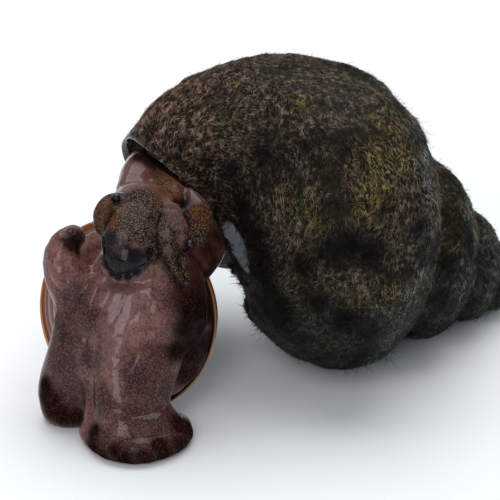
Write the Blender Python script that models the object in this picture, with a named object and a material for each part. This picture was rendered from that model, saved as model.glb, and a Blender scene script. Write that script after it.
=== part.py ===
"""Life-size still model of a live trapdoor snail, shell on its side and foot folded.

Metres, Z up, +X to the viewer's right, -Y towards the viewer. The shell rests on its
body whorl and spire, and the front half of the foot rests on its lower margin. Lengths
below are in millimetres and are turned into metres by MM.
"""

import math

import bmesh
import bpy
from mathutils import Matrix, Vector

MM = 0.001
GAP = 0.3                      # clearance between neighbouring nodes
FLAT_DEPTH = 0.25              # how far the resting points are cut to flats

# Shell: a tube whose section grows by WHORL_GROWTH with every turn about the axis.
UNIT = 17.2                    # reach of the section's outer side from the axis
WHORL_GROWTH = 1.605
WHORLS = 4.5
SECTION_RADIUS = 0.485         # section centre from the axis, in units
SECTION_HEIGHT = 2.201         # section centre from the apex, in units
OUTER_WIDTH, INNER_WIDTH = 0.515, 0.405
BASE_HEIGHT, APEX_HEIGHT = 0.35, 0.694
SECTION_POWERS = {(1, 1): 2.0, (-1, 1): 2.18, (-1, -1): 3.0, (1, -1): 1.71}
SECTION_TURN = 0.687
LIP_SLANT = -0.31              # slant of the growth lines and of the lip
LIP_BOW = -0.268
AXIS_HEADING = 0.462           # axis from base to apex: heading and dip, radians
AXIS_DIP = 0.503
LIP_ROLL = 1.975               # where the lip lies about the axis
AXIS_LEVEL = 16.62 - FLAT_DEPTH
RING_POINTS = 24
RINGS_PER_WHORL = 18
WALL = 1.0
CAVITY_TURN = 0.95             # how far the opening runs back from the lip, radians
CAP_TURN = 5.0                 # how far back from the lip the base is bridged, radians
CAP_AROUND = (-0.2, 2.6)       # the part of the section that is the base

OPERCULUM_CENTRE = (-13.1, -5.1, 8.5)
OPERCULUM_HALF = (8.35, 9.3)
OPERCULUM_ROLL = math.radians(-25)    # its long axis leans to the viewer's left
OPERCULUM_THICK = 0.9
FOOT_LEAN = math.radians(27)   # the rear half of the foot and the operculum lean back
FOOT_YAW = math.radians(-10)


def clear_scene():
    for obj in list(bpy.data.objects):
        bpy.data.objects.remove(obj, do_unlink=True)


def add_object(name, bm):
    bmesh.ops.recalc_face_normals(bm, faces=bm.faces)
    mesh = bpy.data.meshes.new(name)
    bm.to_mesh(mesh)
    bm.free()
    obj = bpy.data.objects.new(name, mesh)
    bpy.context.scene.collection.objects.link(obj)
    return obj


def skin_rings(name, rings):
    """One closed tube through rings of points, in millimetres, with a fan at each end."""
    bm = bmesh.new()
    rows = [[bm.verts.new(Vector(p) * MM) for p in ring] for ring in rings]
    count = len(rows[0])
    for row, after in zip(rows, rows[1:]):
        for i in range(count):
            j = (i + 1) % count
            bm.faces.new((row[i], row[j], after[j], after[i]))
    for ring, row in ((rings[0], rows[0]), (rings[-1], rows[-1])):
        centre = sum((Vector(p) for p in ring), Vector()) / count
        hub = bm.verts.new(centre * MM)
        for i in range(count):
            bm.faces.new((row[i], row[(i + 1) % count], hub))
    return add_object(name, bm)


def collection_of(name, objects):
    """Puts tools into a collection of their own, for one Boolean to use."""
    group = bpy.data.collections.new(name)
    bpy.context.scene.collection.children.link(group)
    for obj in objects:
        for old in list(obj.users_collection):
            old.objects.unlink(obj)
        group.objects.link(obj)
        obj.hide_render = True
        obj.display_type = "WIRE"
    return group


def boolean(obj, operation, tools, solver="MANIFOLD"):
    """Applies one Boolean of obj with the tools. EXACT also resolves a body's own overlaps."""
    mod = obj.modifiers.new(operation.title(), "BOOLEAN")
    mod.operation = operation
    mod.solver = solver
    if solver == "EXACT":
        mod.use_self = True
    mod.operand_type = "COLLECTION"
    mod.collection = collection_of(f"{obj.name} {operation.lower()}", tools)
    apply_modifiers(obj)
    for tool in tools:
        bpy.data.objects.remove(tool, do_unlink=True)


def apply_modifiers(obj):
    graph = bpy.context.evaluated_depsgraph_get()
    mesh = bpy.data.meshes.new_from_object(obj.evaluated_get(graph))
    obj.modifiers.clear()
    obj.data = mesh


def box_of(obj):
    points = [Vector(corner) for corner in obj.bound_box]
    return [(min(axis), max(axis)) for axis in zip(*points)]


def cut_clear(obj, cutters):
    """Cuts away what lies in the cutters, leaving out those that don't come near."""
    near = [c for c in cutters if all(low < high_c and low_c < high for (low, high), (low_c, high_c)
                                      in zip(box_of(obj), box_of(c)))]
    for cutter in set(cutters) - set(near):
        bpy.data.objects.remove(cutter, do_unlink=True)
    if near:
        boolean(obj, "DIFFERENCE", near)


def union(name, tools, solver="MANIFOLD"):
    """One body from the tools, the first of which gives the object."""
    body = tools[0]
    body.name = name
    body.data.name = name
    if tools[1:]:
        boolean(body, "UNION", tools[1:], solver)
    return body


def shell_axes():
    axis = Vector((math.cos(AXIS_DIP) * math.cos(AXIS_HEADING),
                   math.cos(AXIS_DIP) * math.sin(AXIS_HEADING),
                   -math.sin(AXIS_DIP)))
    side = Vector((math.sin(AXIS_HEADING), -math.cos(AXIS_HEADING), 0))
    return axis, side, side.cross(axis)


def shell_point(turn, around, inset=0.0):
    """A point of the whorl's surface, at an angle about the axis and one round the section."""
    axis, side, rise = shell_axes()
    c, s = math.cos(around), math.sin(around)
    outer, base = (1 if c > 0 else -1), (1 if s > 0 else -1)
    power = SECTION_POWERS[outer, base]
    width = (OUTER_WIDTH if c > 0 else INNER_WIDTH) - inset / UNIT
    height = (BASE_HEIGHT if s > 0 else APEX_HEIGHT) - inset / UNIT
    across = outer * width * abs(c) ** (2 / power)
    along = base * height * abs(s) ** (2 / power)
    radius = SECTION_RADIUS + across * math.cos(SECTION_TURN) - along * math.sin(SECTION_TURN)
    depth = SECTION_HEIGHT + across * math.sin(SECTION_TURN) + along * math.cos(SECTION_TURN)
    angle = turn + LIP_SLANT * s + LIP_BOW * c
    scale = UNIT * math.exp(math.log(WHORL_GROWTH) / math.tau * angle)
    radius = max(radius, 0.01) * scale
    where = angle + LIP_ROLL
    point = rise * (radius * math.cos(where)) - side * (radius * math.sin(where))
    point += axis * (0.9 * SECTION_HEIGHT * UNIT - depth * scale)
    return point + Vector((0, 0, AXIS_LEVEL))


def shell_ring(turn, inset=0.0, points=RING_POINTS):
    return [shell_point(turn, math.tau * i / points, inset) for i in range(points)]


def ring_about(centre, across, over, points=20, power=2.0):
    """A ring in the plane of two half-axes, rounder or squarer with the power."""
    ring = []
    for i in range(points):
        c, s = math.cos(math.tau * i / points), math.sin(math.tau * i / points)
        c = math.copysign(abs(c) ** (2 / power), c)
        s = math.copysign(abs(s) ** (2 / power), s)
        ring.append(Vector(centre) + Vector(across) * c + Vector(over) * s)
    return ring


def smooth_stations(stations, steps=3):
    """More stations on a Catmull-Rom curve through the given ones."""
    rows = [[*s[0], s[1], s[2], *s[3]] for s in stations]
    rows = [rows[0]] + rows + [rows[-1]]
    drawn = []
    for p, q, r, s in zip(rows, rows[1:], rows[2:], rows[3:]):
        for n in range(steps):
            t = n / steps
            drawn.append([b + t / 2 * (c - a + t * (2 * a - 5 * b + 4 * c - d
                                                    + t * (3 * b - a - 3 * c + d)))
                          for a, b, c, d in zip(p, q, r, s)])
    drawn.append(rows[-1])
    return [(row[:3], row[3], row[4], row[5:]) for row in drawn]


def limb(name, stations, grow=0.0, points=20, power=2.0):
    """A rounded tube. Each station is its centre, half-width, half-thickness and the
    direction of the width."""
    stations = smooth_stations(stations)
    rings = []
    centres = [Vector(s[0]) for s in stations]
    for i, (centre, wide, thick, heading) in enumerate(stations):
        ahead = centres[min(i + 1, len(centres) - 1)] - centres[max(i - 1, 0)]
        ahead.normalize()
        across = Vector(heading)
        across = (across - ahead * across.dot(ahead)).normalized()
        over = ahead.cross(across)
        rings.append((Vector(centre), ahead, across * (wide + grow), over * (thick + grow)))
    drawn = []
    first, last = rings[0], rings[-1]
    cap = ((0.35, 0.94), (0.75, 0.66), (0.95, 0.31))
    for (centre, ahead, across, over), sign in ((first, -1), (last, 1)):
        end = []
        for out, size in cap:
            reach = min(across.length, over.length) * out * sign
            end.append(ring_about(centre + ahead * reach, across * size, over * size,
                                  points, power))
        drawn.append(end)
    body = [ring_about(c, a, o, points, power) for c, _, a, o in rings]
    return skin_rings(name, drawn[0][::-1] + body + drawn[1])


def ellipsoid(name, centre, radii, turn=Matrix.Identity(3), grow=0.0, segments=24):
    bm = bmesh.new()
    bmesh.ops.create_uvsphere(bm, u_segments=segments, v_segments=segments // 2, radius=1.0)
    size = Matrix.Diagonal([(r + grow) * MM for r in radii])
    for vert in bm.verts:
        vert.co = turn @ (size @ vert.co) + Vector(centre) * MM
    return add_object(name, bm)


def below_floor():
    bm = bmesh.new()
    bmesh.ops.create_cube(bm, size=1.0)
    for vert in bm.verts:
        vert.co = Vector((vert.co.x * 90, vert.co.y * 90, (vert.co.z - 0.5) * 20)) * MM
    return add_object("floor_cutter", bm)


# Each form is drawn by a function of how much it is grown, so that a neighbour can be
# cut clear of it by GAP.

X, Y, Z = (1, 0, 0), (0, 1, 0), (0, 0, 1)


def base_cap(grow=0.0):
    """The taut base of the last whorl: its hull, which closes the hollow of the axis, with
    the opening's own path hollowed out of it past the lip."""
    bm = bmesh.new()
    for i in range(21):
        for j in range(8):
            around = CAP_AROUND[0] + (CAP_AROUND[1] - CAP_AROUND[0]) * j / 7
            bm.verts.new(shell_point(-CAP_TURN * i / 20, around, 0.1 - grow) * MM)
    found = bmesh.ops.convex_hull(bm, input=bm.verts)
    spare = {item for item in found["geom_interior"] + found["geom_unused"]
             if isinstance(item, bmesh.types.BMVert)}
    bmesh.ops.delete(bm, geom=list(spare), context="VERTS")
    cap = add_object("base_cap", bm)
    rings = [shell_ring(-CAVITY_TURN + i * 0.1, WALL + grow) for i in range(20)]
    boolean(cap, "DIFFERENCE", [skin_rings("cap_hollow", rings)])
    return cap


def head(grow=0.0):
    """The snout, and the thin lips that close the mouth under its tip."""
    snout = limb("head", [((-11.6, -2.4, 18.0), 3.4, 2.86, X), ((-12.4, -5.2, 18.1), 3.25, 2.75, X),
                          ((-12.75, -7.8, 17.8), 2.9, 2.4, X), ((-13.0, -9.5, 17.3), 2.35, 2.0, X)],
                 grow, 18)
    lips = limb("lips", [((-15.3, -9.2, 16.7), 0.55, 0.5, Z), ((-14.7, -10.5, 16.2), 0.55, 0.5, Z),
                         ((-13.2, -11.2, 16.0), 0.55, 0.5, Z), ((-11.8, -10.5, 16.2), 0.55, 0.5, Z),
                         ((-10.9, -9.2, 16.6), 0.55, 0.5, Z)], grow, 8)
    return [snout, lips]


def mouth():
    """The line of the mouth, between the tip of the snout and the lower lip."""
    return limb("mouth", [((-15.1, -9.9, 17.2), 0.22, 0.22, Z), ((-14.5, -11.0, 16.75), 0.24, 0.24, Z),
                          ((-13.2, -11.6, 16.55), 0.24, 0.24, Z),
                          ((-11.9, -11.0, 16.7), 0.24, 0.24, Z),
                          ((-11.1, -9.9, 17.1), 0.22, 0.22, Z)], 0.0, 8)


def tentacle_left(grow=0.0):
    """A leaf that hangs beside the snout, and the short stalk of the eye at its base."""
    leaf = limb("tentacle_left", [((-8.85, -4.4, 19.15), 0.95, 0.95, X),
                                  ((-9.1, -6.4, 18.15), 1.0, 0.9, X),
                                  ((-9.2, -7.9, 17.1), 0.9, 0.8, X),
                                  ((-8.8, -8.9, 15.95), 0.65, 0.6, X),
                                  ((-8.0, -9.8, 14.9), 0.36, 0.36, X)], grow, 12)
    stalk = limb("eye_stalk_left", [((-8.6, -4.9, 18.7), 0.8, 0.8, X),
                                    ((-7.9, -5.9, 17.9), 0.85, 0.8, X),
                                    ((-7.4, -6.6, 17.2), 0.8, 0.75, X)], grow, 10)
    return [leaf, stalk]


def tentacle_right(grow=0.0):
    """A short blunt tentacle, curled back on the side of the head, with its eye above it."""
    return [limb("tentacle_right", [((-14.0, -4.3, 20.2), 0.85, 0.85, Y),
                                    ((-14.7, -4.9, 20.2), 0.95, 0.95, Y),
                                    ((-15.25, -5.7, 19.6), 0.95, 0.95, Y),
                                    ((-15.45, -6.4, 18.9), 0.7, 0.7, Y)], grow, 14)]


EYE_RADIUS = 0.4


def eye_left(grow=0.0):
    return [ellipsoid("eye_left", (-7.15, -7.15, 17.3), (EYE_RADIUS,) * 3, grow=grow,
                      segments=12)]


def eye_right(grow=0.0):
    return [ellipsoid("eye_right", (-14.05, -4.95, 21.05), (EYE_RADIUS,) * 3, grow=grow,
                      segments=12)]


def nuchal_lobe_left(grow=0.0):
    return [limb("nuchal_lobe_left", [((-7.4, 1.4, 18.8), 1.35, 0.95, X),
                                      ((-6.8, -1.0, 18.1), 1.45, 1.1, X),
                                      ((-6.2, -2.8, 17.1), 1.35, 1.15, X),
                                      ((-6.0, -4.2, 16.1), 1.1, 1.0, X)], grow, 12)]


def nuchal_lobe_right(grow=0.0):
    return [limb("nuchal_lobe_right", [((-11.4, 5.1, 18.6), 1.91, 2.12, X),
                                       ((-12.2, 2.2, 18.6), 1.80, 2.12, X),
                                       ((-13.2, -1.0, 18.4), 1.16, 1.38, X)], grow, 14)]


def neck(grow=0.0):
    return [limb("neck", [((-8.8, 4.3, 15.0), 5.19, 4.98, X), ((-9.0, 0.5, 15.1), 5.85, 4.66, X),
                          ((-9.8, -2.7, 14.5), 5.65, 4.23, X)], grow, 20)]


def foot_front(grow=0.0):
    """The front half hangs from the head like a sheet and flares out on the floor."""
    sheet = limb("foot_sheet", [((-10.8, -6.9, 15.1), 4.87, 2.12, X),
                                ((-11.6, -9.4, 12.1), 6.2, 2.4, X),
                                ((-12.7, -10.7, 9.3), 5.7, 2.4, X),
                                ((-12.9, -11.9, 6.8), 4.75, 2.3, X),
                                ((-13.1, -13.1, 3.9), 4.05, 2.35, X),
                                ((-12.9, -14.0, 2.0), 4.3, 2.2, X)], grow, 22, 2.2)
    toe = ellipsoid("foot_toe", (-12.5, -14.3, 1.9), (4.6, 3.2, 2.3), grow=grow, segments=16)
    margin = limb("foot_margin", [((-15.9, -13.9, 1.05), 1.8, 1.3, Y),
                                  ((-14.1, -16.3, 1.05), 2.0, 1.3, (0.5, 1, 0)),
                                  ((-11.3, -16.9, 1.05), 2.0, 1.3, (-0.1, 1, 0)),
                                  ((-9.0, -14.9, 1.05), 2.0, 1.3, (-0.8, 1, 0)),
                                  ((-8.7, -13.2, 1.05), 1.6, 1.2, (-2, 1, 0))], grow, 12, 2.2)
    left = limb("foot_left_lobe", [((-16.3, -8.9, 10.9), 3.3, 2.0, X),
                                   ((-17.4, -9.6, 7.0), 3.05, 2.2, X),
                                   ((-18.4, -10.0, 3.2), 3.07, 2.4, X),
                                   ((-18.4, -10.2, 1.5), 2.96, 2.3, X)], grow, 16, 2.2)
    curl = limb("foot_curl", [((-16.6, -8.5, 10.6), 1.91, 2.6, Y),
                              ((-18.5, -8.1, 14.0), 1.80, 2.1, Y),
                              ((-19.2, -7.2, 16.5), 1.59, 1.65, Y),
                              ((-18.1, -6.6, 17.7), 1.16, 1.2, Y)], grow, 16)
    return [sheet, toe, margin, left, curl]


def rear_turn():
    lean = Matrix.Rotation(FOOT_YAW, 3, "Z") @ Matrix.Rotation(-FOOT_LEAN, 3, "X")
    return lean @ Matrix.Rotation(OPERCULUM_ROLL, 3, "Y")


def foot_rear(grow=0.0):
    """The rear half lies behind the front one and carries the operculum."""
    turn = rear_turn()
    at = Vector(OPERCULUM_CENTRE) + turn @ Vector((0.75, -2.1, -0.2))
    return [ellipsoid("foot_rear", at, (7.5, 2.3, 8.6), turn, grow, 24)]


def operculum(grow=0.0):
    """A thin horny plate, bowed a little, that closes the shell when the animal is in."""
    turn = rear_turn()
    wide, high = (h + grow for h in OPERCULUM_HALF)
    half = OPERCULUM_THICK / 2 + grow
    rings = []
    for out, share in ((-half, 0.02), (-half, 0.55), (-half * 0.9, 0.93), (0, 1.0),
                       (half * 0.9, 0.96), (half, 0.75), (half * 1.5, 0.5), (half * 1.2, 0.02)):
        flat = [(wide * share * math.cos(math.tau * i / 32), out,
                 high * share * math.sin(math.tau * i / 32)) for i in range(32)]
        rings.append([Vector(OPERCULUM_CENTRE) + turn @ Vector(p) for p in flat])
    return [skin_rings("operculum", rings)]


def make_shell():
    step = math.tau / RINGS_PER_WHORL
    total = round(WHORLS * RINGS_PER_WHORL)
    tube = skin_rings("tube", [shell_ring(i * step) for i in range(-total, 1)])
    apex = shell_ring(-total * step)
    tip = sum(apex, Vector()) / len(apex)
    wide = 0.97 * max((p - tip).length for p in apex)
    crown = ellipsoid("crown", tip, (wide, wide, wide), segments=16)
    shell = union("shell", [tube, crown, base_cap()], "EXACT")
    back = -CAVITY_TURN
    rings = [shell_ring(back + i * (0.12 - back) / 12, WALL) for i in range(13)]
    end = sum(rings[0], Vector()) / RING_POINTS
    small = [[end + (p - end) * size for p in shell_ring(back - turn, WALL)]
             for size, turn in ((0.45, 0.2), (0.8, 0.12))]
    boolean(shell, "DIFFERENCE", [skin_rings("cavity", small + rings)])
    return shell


def wall_clearance():
    """The shell's wall near the lip, grown by GAP, for cutting the flesh clear of it."""
    outer = skin_rings("outer", [shell_ring(-1.4 + i * 0.12, -GAP) for i in range(13)])
    inner = skin_rings("inner", [shell_ring(-1.0 + i * 0.12, WALL + GAP) for i in range(13)])
    boolean(outer, "DIFFERENCE", [inner])
    return outer


def make_mantle():
    """The soft plug that fills the opening behind the neck."""
    rings = [shell_ring(-0.85 + i * 0.1, WALL + GAP) for i in range(7)]
    centre = sum(rings[0], Vector()) / RING_POINTS
    small = [[centre + (p - centre) * size for p in shell_ring(-0.85 - turn, WALL + GAP)]
             for size, turn in ((0.5, 0.08), (0.85, 0.05))]
    return skin_rings("mantle", small + rings)


FORMS = [eye_left, eye_right, tentacle_left, tentacle_right, head, nuchal_lobe_left,
         nuchal_lobe_right, neck, operculum, foot_front, foot_rear]


def make_flesh():
    """Every form in turn, cut clear of those made before it, of the shell and the floor."""
    for n, form in enumerate(FORMS):
        node = union(form.__name__, form())
        cutters = [piece for other in FORMS[:n] for piece in other(GAP)]
        if form is head:
            cutters.append(mouth())
        if form in (neck, nuchal_lobe_left, nuchal_lobe_right):
            cutters += [wall_clearance(), base_cap(GAP)]
        cut_clear(node, cutters)
    mantle = make_mantle()
    cut_clear(mantle, [piece for other in (neck, nuchal_lobe_left, nuchal_lobe_right)
                       for piece in other(GAP)])


def centre_on_origin(objects):
    """Moves the whole model so that the centre of its bounding box lies over the origin."""
    boxes = [box_of(obj) for obj in objects]
    shift = Vector((0, 0, 0))
    for axis in (0, 1):
        shift[axis] = -(min(b[axis][0] for b in boxes) + max(b[axis][1] for b in boxes)) / 2
    print("centred by", [round(v / MM, 3) for v in shift], "mm")
    for obj in objects:
        obj.data.transform(Matrix.Translation(shift))


def main():
    clear_scene()
    make_shell()
    make_flesh()
    nodes = [obj for obj in bpy.data.objects if obj.type == "MESH"]
    for obj in nodes:
        if obj.name in ("shell", "foot_front"):
            boolean(obj, "DIFFERENCE", [below_floor()])
    centre_on_origin(nodes)


if __name__ == "__main__":
    main()
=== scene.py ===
"""Looks of a life-size still model of a live trapdoor snail: shell, algae, flesh, eyes and plate.

Metres, Z up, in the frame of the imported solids. Sizes written in millimetres are turned into
metres by MM. The photograph is taken to be 500 x 500 pixels wherever a pixel is named.
"""

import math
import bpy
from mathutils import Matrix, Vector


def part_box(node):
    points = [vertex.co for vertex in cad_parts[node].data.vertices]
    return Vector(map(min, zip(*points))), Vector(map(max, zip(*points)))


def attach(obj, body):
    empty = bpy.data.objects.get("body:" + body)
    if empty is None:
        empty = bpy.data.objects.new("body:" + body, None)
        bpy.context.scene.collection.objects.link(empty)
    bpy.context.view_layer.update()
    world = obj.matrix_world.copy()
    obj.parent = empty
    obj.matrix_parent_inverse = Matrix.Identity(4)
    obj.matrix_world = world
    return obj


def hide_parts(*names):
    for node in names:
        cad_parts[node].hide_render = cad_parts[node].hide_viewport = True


bl_info = {
    "name": "Trapdoor Snail Looks",
    "version": (1, 0, 0),
    "blender": (4, 5, 0),
    "location": "3D Viewport > Sidebar > Snail",
    "description": "Builds the visible surfaces of a trapdoor snail around its solids",
    "category": "Object",
}

from contextlib import contextmanager

import bmesh
import bpy
import numpy as np
from bpy.props import FloatProperty, FloatVectorProperty, IntProperty, PointerProperty
from bpy.types import Operator, Panel, PropertyGroup
from mathutils import Matrix, Vector
from mathutils.bvhtree import BVHTree

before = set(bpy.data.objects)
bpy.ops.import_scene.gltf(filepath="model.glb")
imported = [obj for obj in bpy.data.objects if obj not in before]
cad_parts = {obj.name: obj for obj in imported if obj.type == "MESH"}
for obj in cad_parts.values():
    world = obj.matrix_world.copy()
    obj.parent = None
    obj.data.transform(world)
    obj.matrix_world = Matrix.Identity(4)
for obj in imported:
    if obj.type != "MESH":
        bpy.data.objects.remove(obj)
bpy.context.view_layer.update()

MM = 0.001
BODY = "root"

# The solids were centred over the origin after they were drawn. The left eye tells by how much.
EYE_DRAWN_AT = Vector((-7.15, -7.15, 17.3)) * MM
eye_low, eye_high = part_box("eye_left")
CENTRING = (eye_low + eye_high) / 2 - EYE_DRAWN_AT
CENTRING.z = 0.0

# The photograph's camera: how far it looks down, its focal length and middle in pixels.
CAMERA_TILT = 0.520998
CAMERA_PLACE = Vector((0.0, -0.49552, 0.30099)) + CENTRING
FOCAL_PIXELS = 6031.63
MIDDLE_X, MIDDLE_Y = 266.171, 212.313
PHOTO_SIDE = 500
SENSOR_MM = 36.0

# The shell is a section that grows by WHORL_GROWTH with every turn about its axis.
UNIT = 17.2 * MM               # reach of the section's outer side from the axis at the lip
WHORL_GROWTH = 1.605
WHORLS = 4.5
SECTION_RADIUS, SECTION_HEIGHT = 0.485, 2.201
OUTER_WIDTH, INNER_WIDTH = 0.515, 0.405
BASE_HEIGHT, APEX_HEIGHT = 0.35, 0.694
SECTION_POWERS = {(1, 1): 2.0, (-1, 1): 2.18, (-1, -1): 3.0, (1, -1): 1.71}
SECTION_TURN = 0.687
LIP_SLANT, LIP_BOW = -0.31, -0.268
AXIS_HEADING, AXIS_DIP = 0.462, 0.503
LIP_ROLL = 1.975
AXIS_LEVEL = 16.37 * MM
SPIRAL = math.log(WHORL_GROWTH) / math.tau
PAST_LIP, FAR_OFF = 0.25, 9.0  # the last whorl ends so far past the lip, and none lies over it

AXIS = Vector((math.cos(AXIS_DIP) * math.cos(AXIS_HEADING),
               math.cos(AXIS_DIP) * math.sin(AXIS_HEADING), -math.sin(AXIS_DIP)))
SIDE = Vector((math.sin(AXIS_HEADING), -math.cos(AXIS_HEADING), 0.0))
RISE = SIDE.cross(AXIS)
APEX = AXIS * (0.9 * SECTION_HEIGHT * UNIT) + Vector((0, 0, AXIS_LEVEL)) + CENTRING


# Settings

def colour_setting(name, description, default):
    return FloatVectorProperty(name=name, description=description, default=default,
                               subtype="COLOR", size=3)


def length_setting(name, description, default):
    return FloatProperty(name=name, description=description, default=default, unit="LENGTH")


class ShellSettings(PropertyGroup):
    wall: length_setting("Wall", "Thickness of the shell's wall at the lip", 0.75 * MM)
    relief: length_setting("Growth relief", "Height of the growth ridges", 0.06 * MM)
    periostracum: colour_setting("Skin of the shell", "Dark horny layer under the algae",
                                 (0.007, 0.0055, 0.0045))
    nacre: colour_setting("Lining", "Bluish grey inside of the opening", (0.15, 0.16, 0.18))


class AlgaeSettings(PropertyGroup):
    tufts: IntProperty(name="Tufts", description="Tufts in each piece of the coat",
                       default=18000, min=100, max=19500)
    length: length_setting("Length", "Usual length of a tuft", 0.66 * MM)
    width: length_setting("Width", "Usual width of a tuft", 0.070 * MM)
    brown: colour_setting("Brown", "Purplish brown growth", (0.27, 0.190, 0.155))
    olive: colour_setting("Olive", "Yellow green growth", (0.33, 0.245, 0.07))
    green: colour_setting("Green", "Fresh green growth", (0.105, 0.15, 0.030))
    teal: colour_setting("Teal", "Grey green growth near the floor", (0.075, 0.115, 0.098))
    # Pale is partly a painted sheen, where the coat is seen edge-on
    pale: colour_setting("Pale", "Whitish grey growth along the shoulder", (0.30, 0.31, 0.28))


class FleshSettings(PropertyGroup):
    voxel: length_setting("Voxel", "Grid that fuses the parts of the flesh", 0.20 * MM)
    skin: colour_setting("Skin", "Purplish brown of the foot", (0.225, 0.098, 0.082))
    orange: colour_setting("Orange", "Orange brown of the neck and flank",
                           (0.015, 0.0032, 0.0014))
    # Pink is partly the lobes' own colour and partly a painted sheen on the lobe and the neck
    pink_and_painted_sheen: colour_setting("Pink", "Smooth pinkish lobes", (0.085, 0.038, 0.037))
    ground: colour_setting("Ground", "Dark brown between the golden specks",
                           (0.012, 0.008, 0.008))
    gold: colour_setting("Gold", "Golden specks", (0.27, 0.115, 0.040))
    sand: colour_setting("Sand", "Pale specks of the snout and the brow", (0.25, 0.150, 0.100))
    # Black also serves as painted shade in the creases
    black: colour_setting("Black", "Near black of the snout and the creases",
                          (0.004, 0.003, 0.005))


class PlateSettings(PropertyGroup):
    thick: length_setting("Thickness", "Thickness of the horny plate", 0.5 * MM)
    rings: IntProperty(name="Rings", description="Rings of growth", default=13, min=4, max=24)
    rim: colour_setting("Rim", "Thin orange rim", (0.60, 0.21, 0.045))
    middle: colour_setting("Middle", "Pinkish brown middle", (0.27, 0.115, 0.085))


class StageSettings(PropertyGroup):
    floor: colour_setting("Floor", "Colour of the floor", (0.88, 0.885, 0.89))
    key: FloatProperty(name="Overhead light", description="Power of the overhead softbox, watts",
                       default=10.5, min=0.0)
    front: FloatProperty(name="Front light", description="Power of the front softbox, watts",
                         default=2.7, min=0.0)
    fill: FloatProperty(name="Surrounding light", description="Strength of the even light",
                        default=0.45, min=0.0)


# Helpers for meshes

def deselect_all():
    bpy.ops.object.select_all(action="DESELECT")


def activate(obj):
    deselect_all()
    obj.select_set(True)
    bpy.context.view_layer.objects.active = obj


def select_mesh():
    bpy.ops.mesh.select_all(action="SELECT")


@contextmanager
def edit_mode():
    """Edit mode, which starts with the whole mesh selected."""
    bpy.ops.object.mode_set(mode="EDIT")
    select_mesh()
    yield
    bpy.ops.object.mode_set(mode="OBJECT")


def name_piece(obj, name):
    obj.name = name
    obj.data.name = name
    return obj


def apply_all(obj):
    activate(obj)
    for mod in list(obj.modifiers):
        bpy.ops.object.modifier_apply(modifier=mod.name)


def read_rows(items, name, width=1, kind=np.float32):
    """What every item of a mesh says under a name, in rows of a width."""
    out = np.empty(len(items) * width, kind)
    items.foreach_get(name, out)
    return out.reshape(-1, width) if width > 1 else out


def coords_of(obj):
    return read_rows(obj.data.vertices, "co", 3).astype(float)


def normals_of(obj):
    return read_rows(obj.data.vertex_normals, "vector", 3).astype(float)


def move_to(obj, points):
    obj.data.vertices.foreach_set("co", points.astype(np.float32).ravel())
    obj.data.update()


def read_value(obj, name):
    return read_rows(obj.data.attributes[name].data, "value").astype(float)


def store_value(obj, name, values):
    """Keeps a number for each vertex, or one number for all, under a name."""
    attributes = obj.data.attributes
    layer = attributes.get(name) or attributes.new(name, "FLOAT", "POINT")
    layer.data.foreach_set("value", np.full(len(obj.data.vertices), values, np.float32))


def settle_order(obj, *labels):
    """Sorts the points and faces by place: Blender's tools may order them anew in each run."""
    points = coords_of(obj)
    order = np.lexsort(points.T)
    values = {name: read_value(obj, name)[order] for name in labels}
    rank = np.argsort(order)
    rings = [[int(rank[vert]) for vert in face.vertices] for face in obj.data.polygons]
    firsts = [ring.index(min(ring)) for ring in rings]
    faces = sorted(ring[first:] + ring[:first] for ring, first in zip(rings, firsts))
    obj.data.clear_geometry()
    obj.data.from_pydata(points[order].tolist(), [], faces)
    for name, value in values.items():
        store_value(obj, name, value)


def unit_rows(vectors):
    return vectors / np.linalg.norm(vectors, axis=1)[:, None]


def smooth_step(low, high, value):
    t = np.clip((value - low) / (high - low), 0.0, 1.0)
    return t * t * (3 - 2 * t)


def waves(points, length, seed, count=10):
    """A soft uneven pattern between about -1 and 1, from waves of about one length."""
    draw = np.random.default_rng(seed)
    total = np.zeros(len(points))
    for _ in range(count):
        heading = draw.normal(size=3)
        heading *= math.tau / (length * draw.uniform(0.7, 1.5) * np.linalg.norm(heading))
        total += np.sin(points @ heading + draw.uniform(0, math.tau))
    return total * 0.98 / math.sqrt(count)


# Helpers for materials

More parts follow.
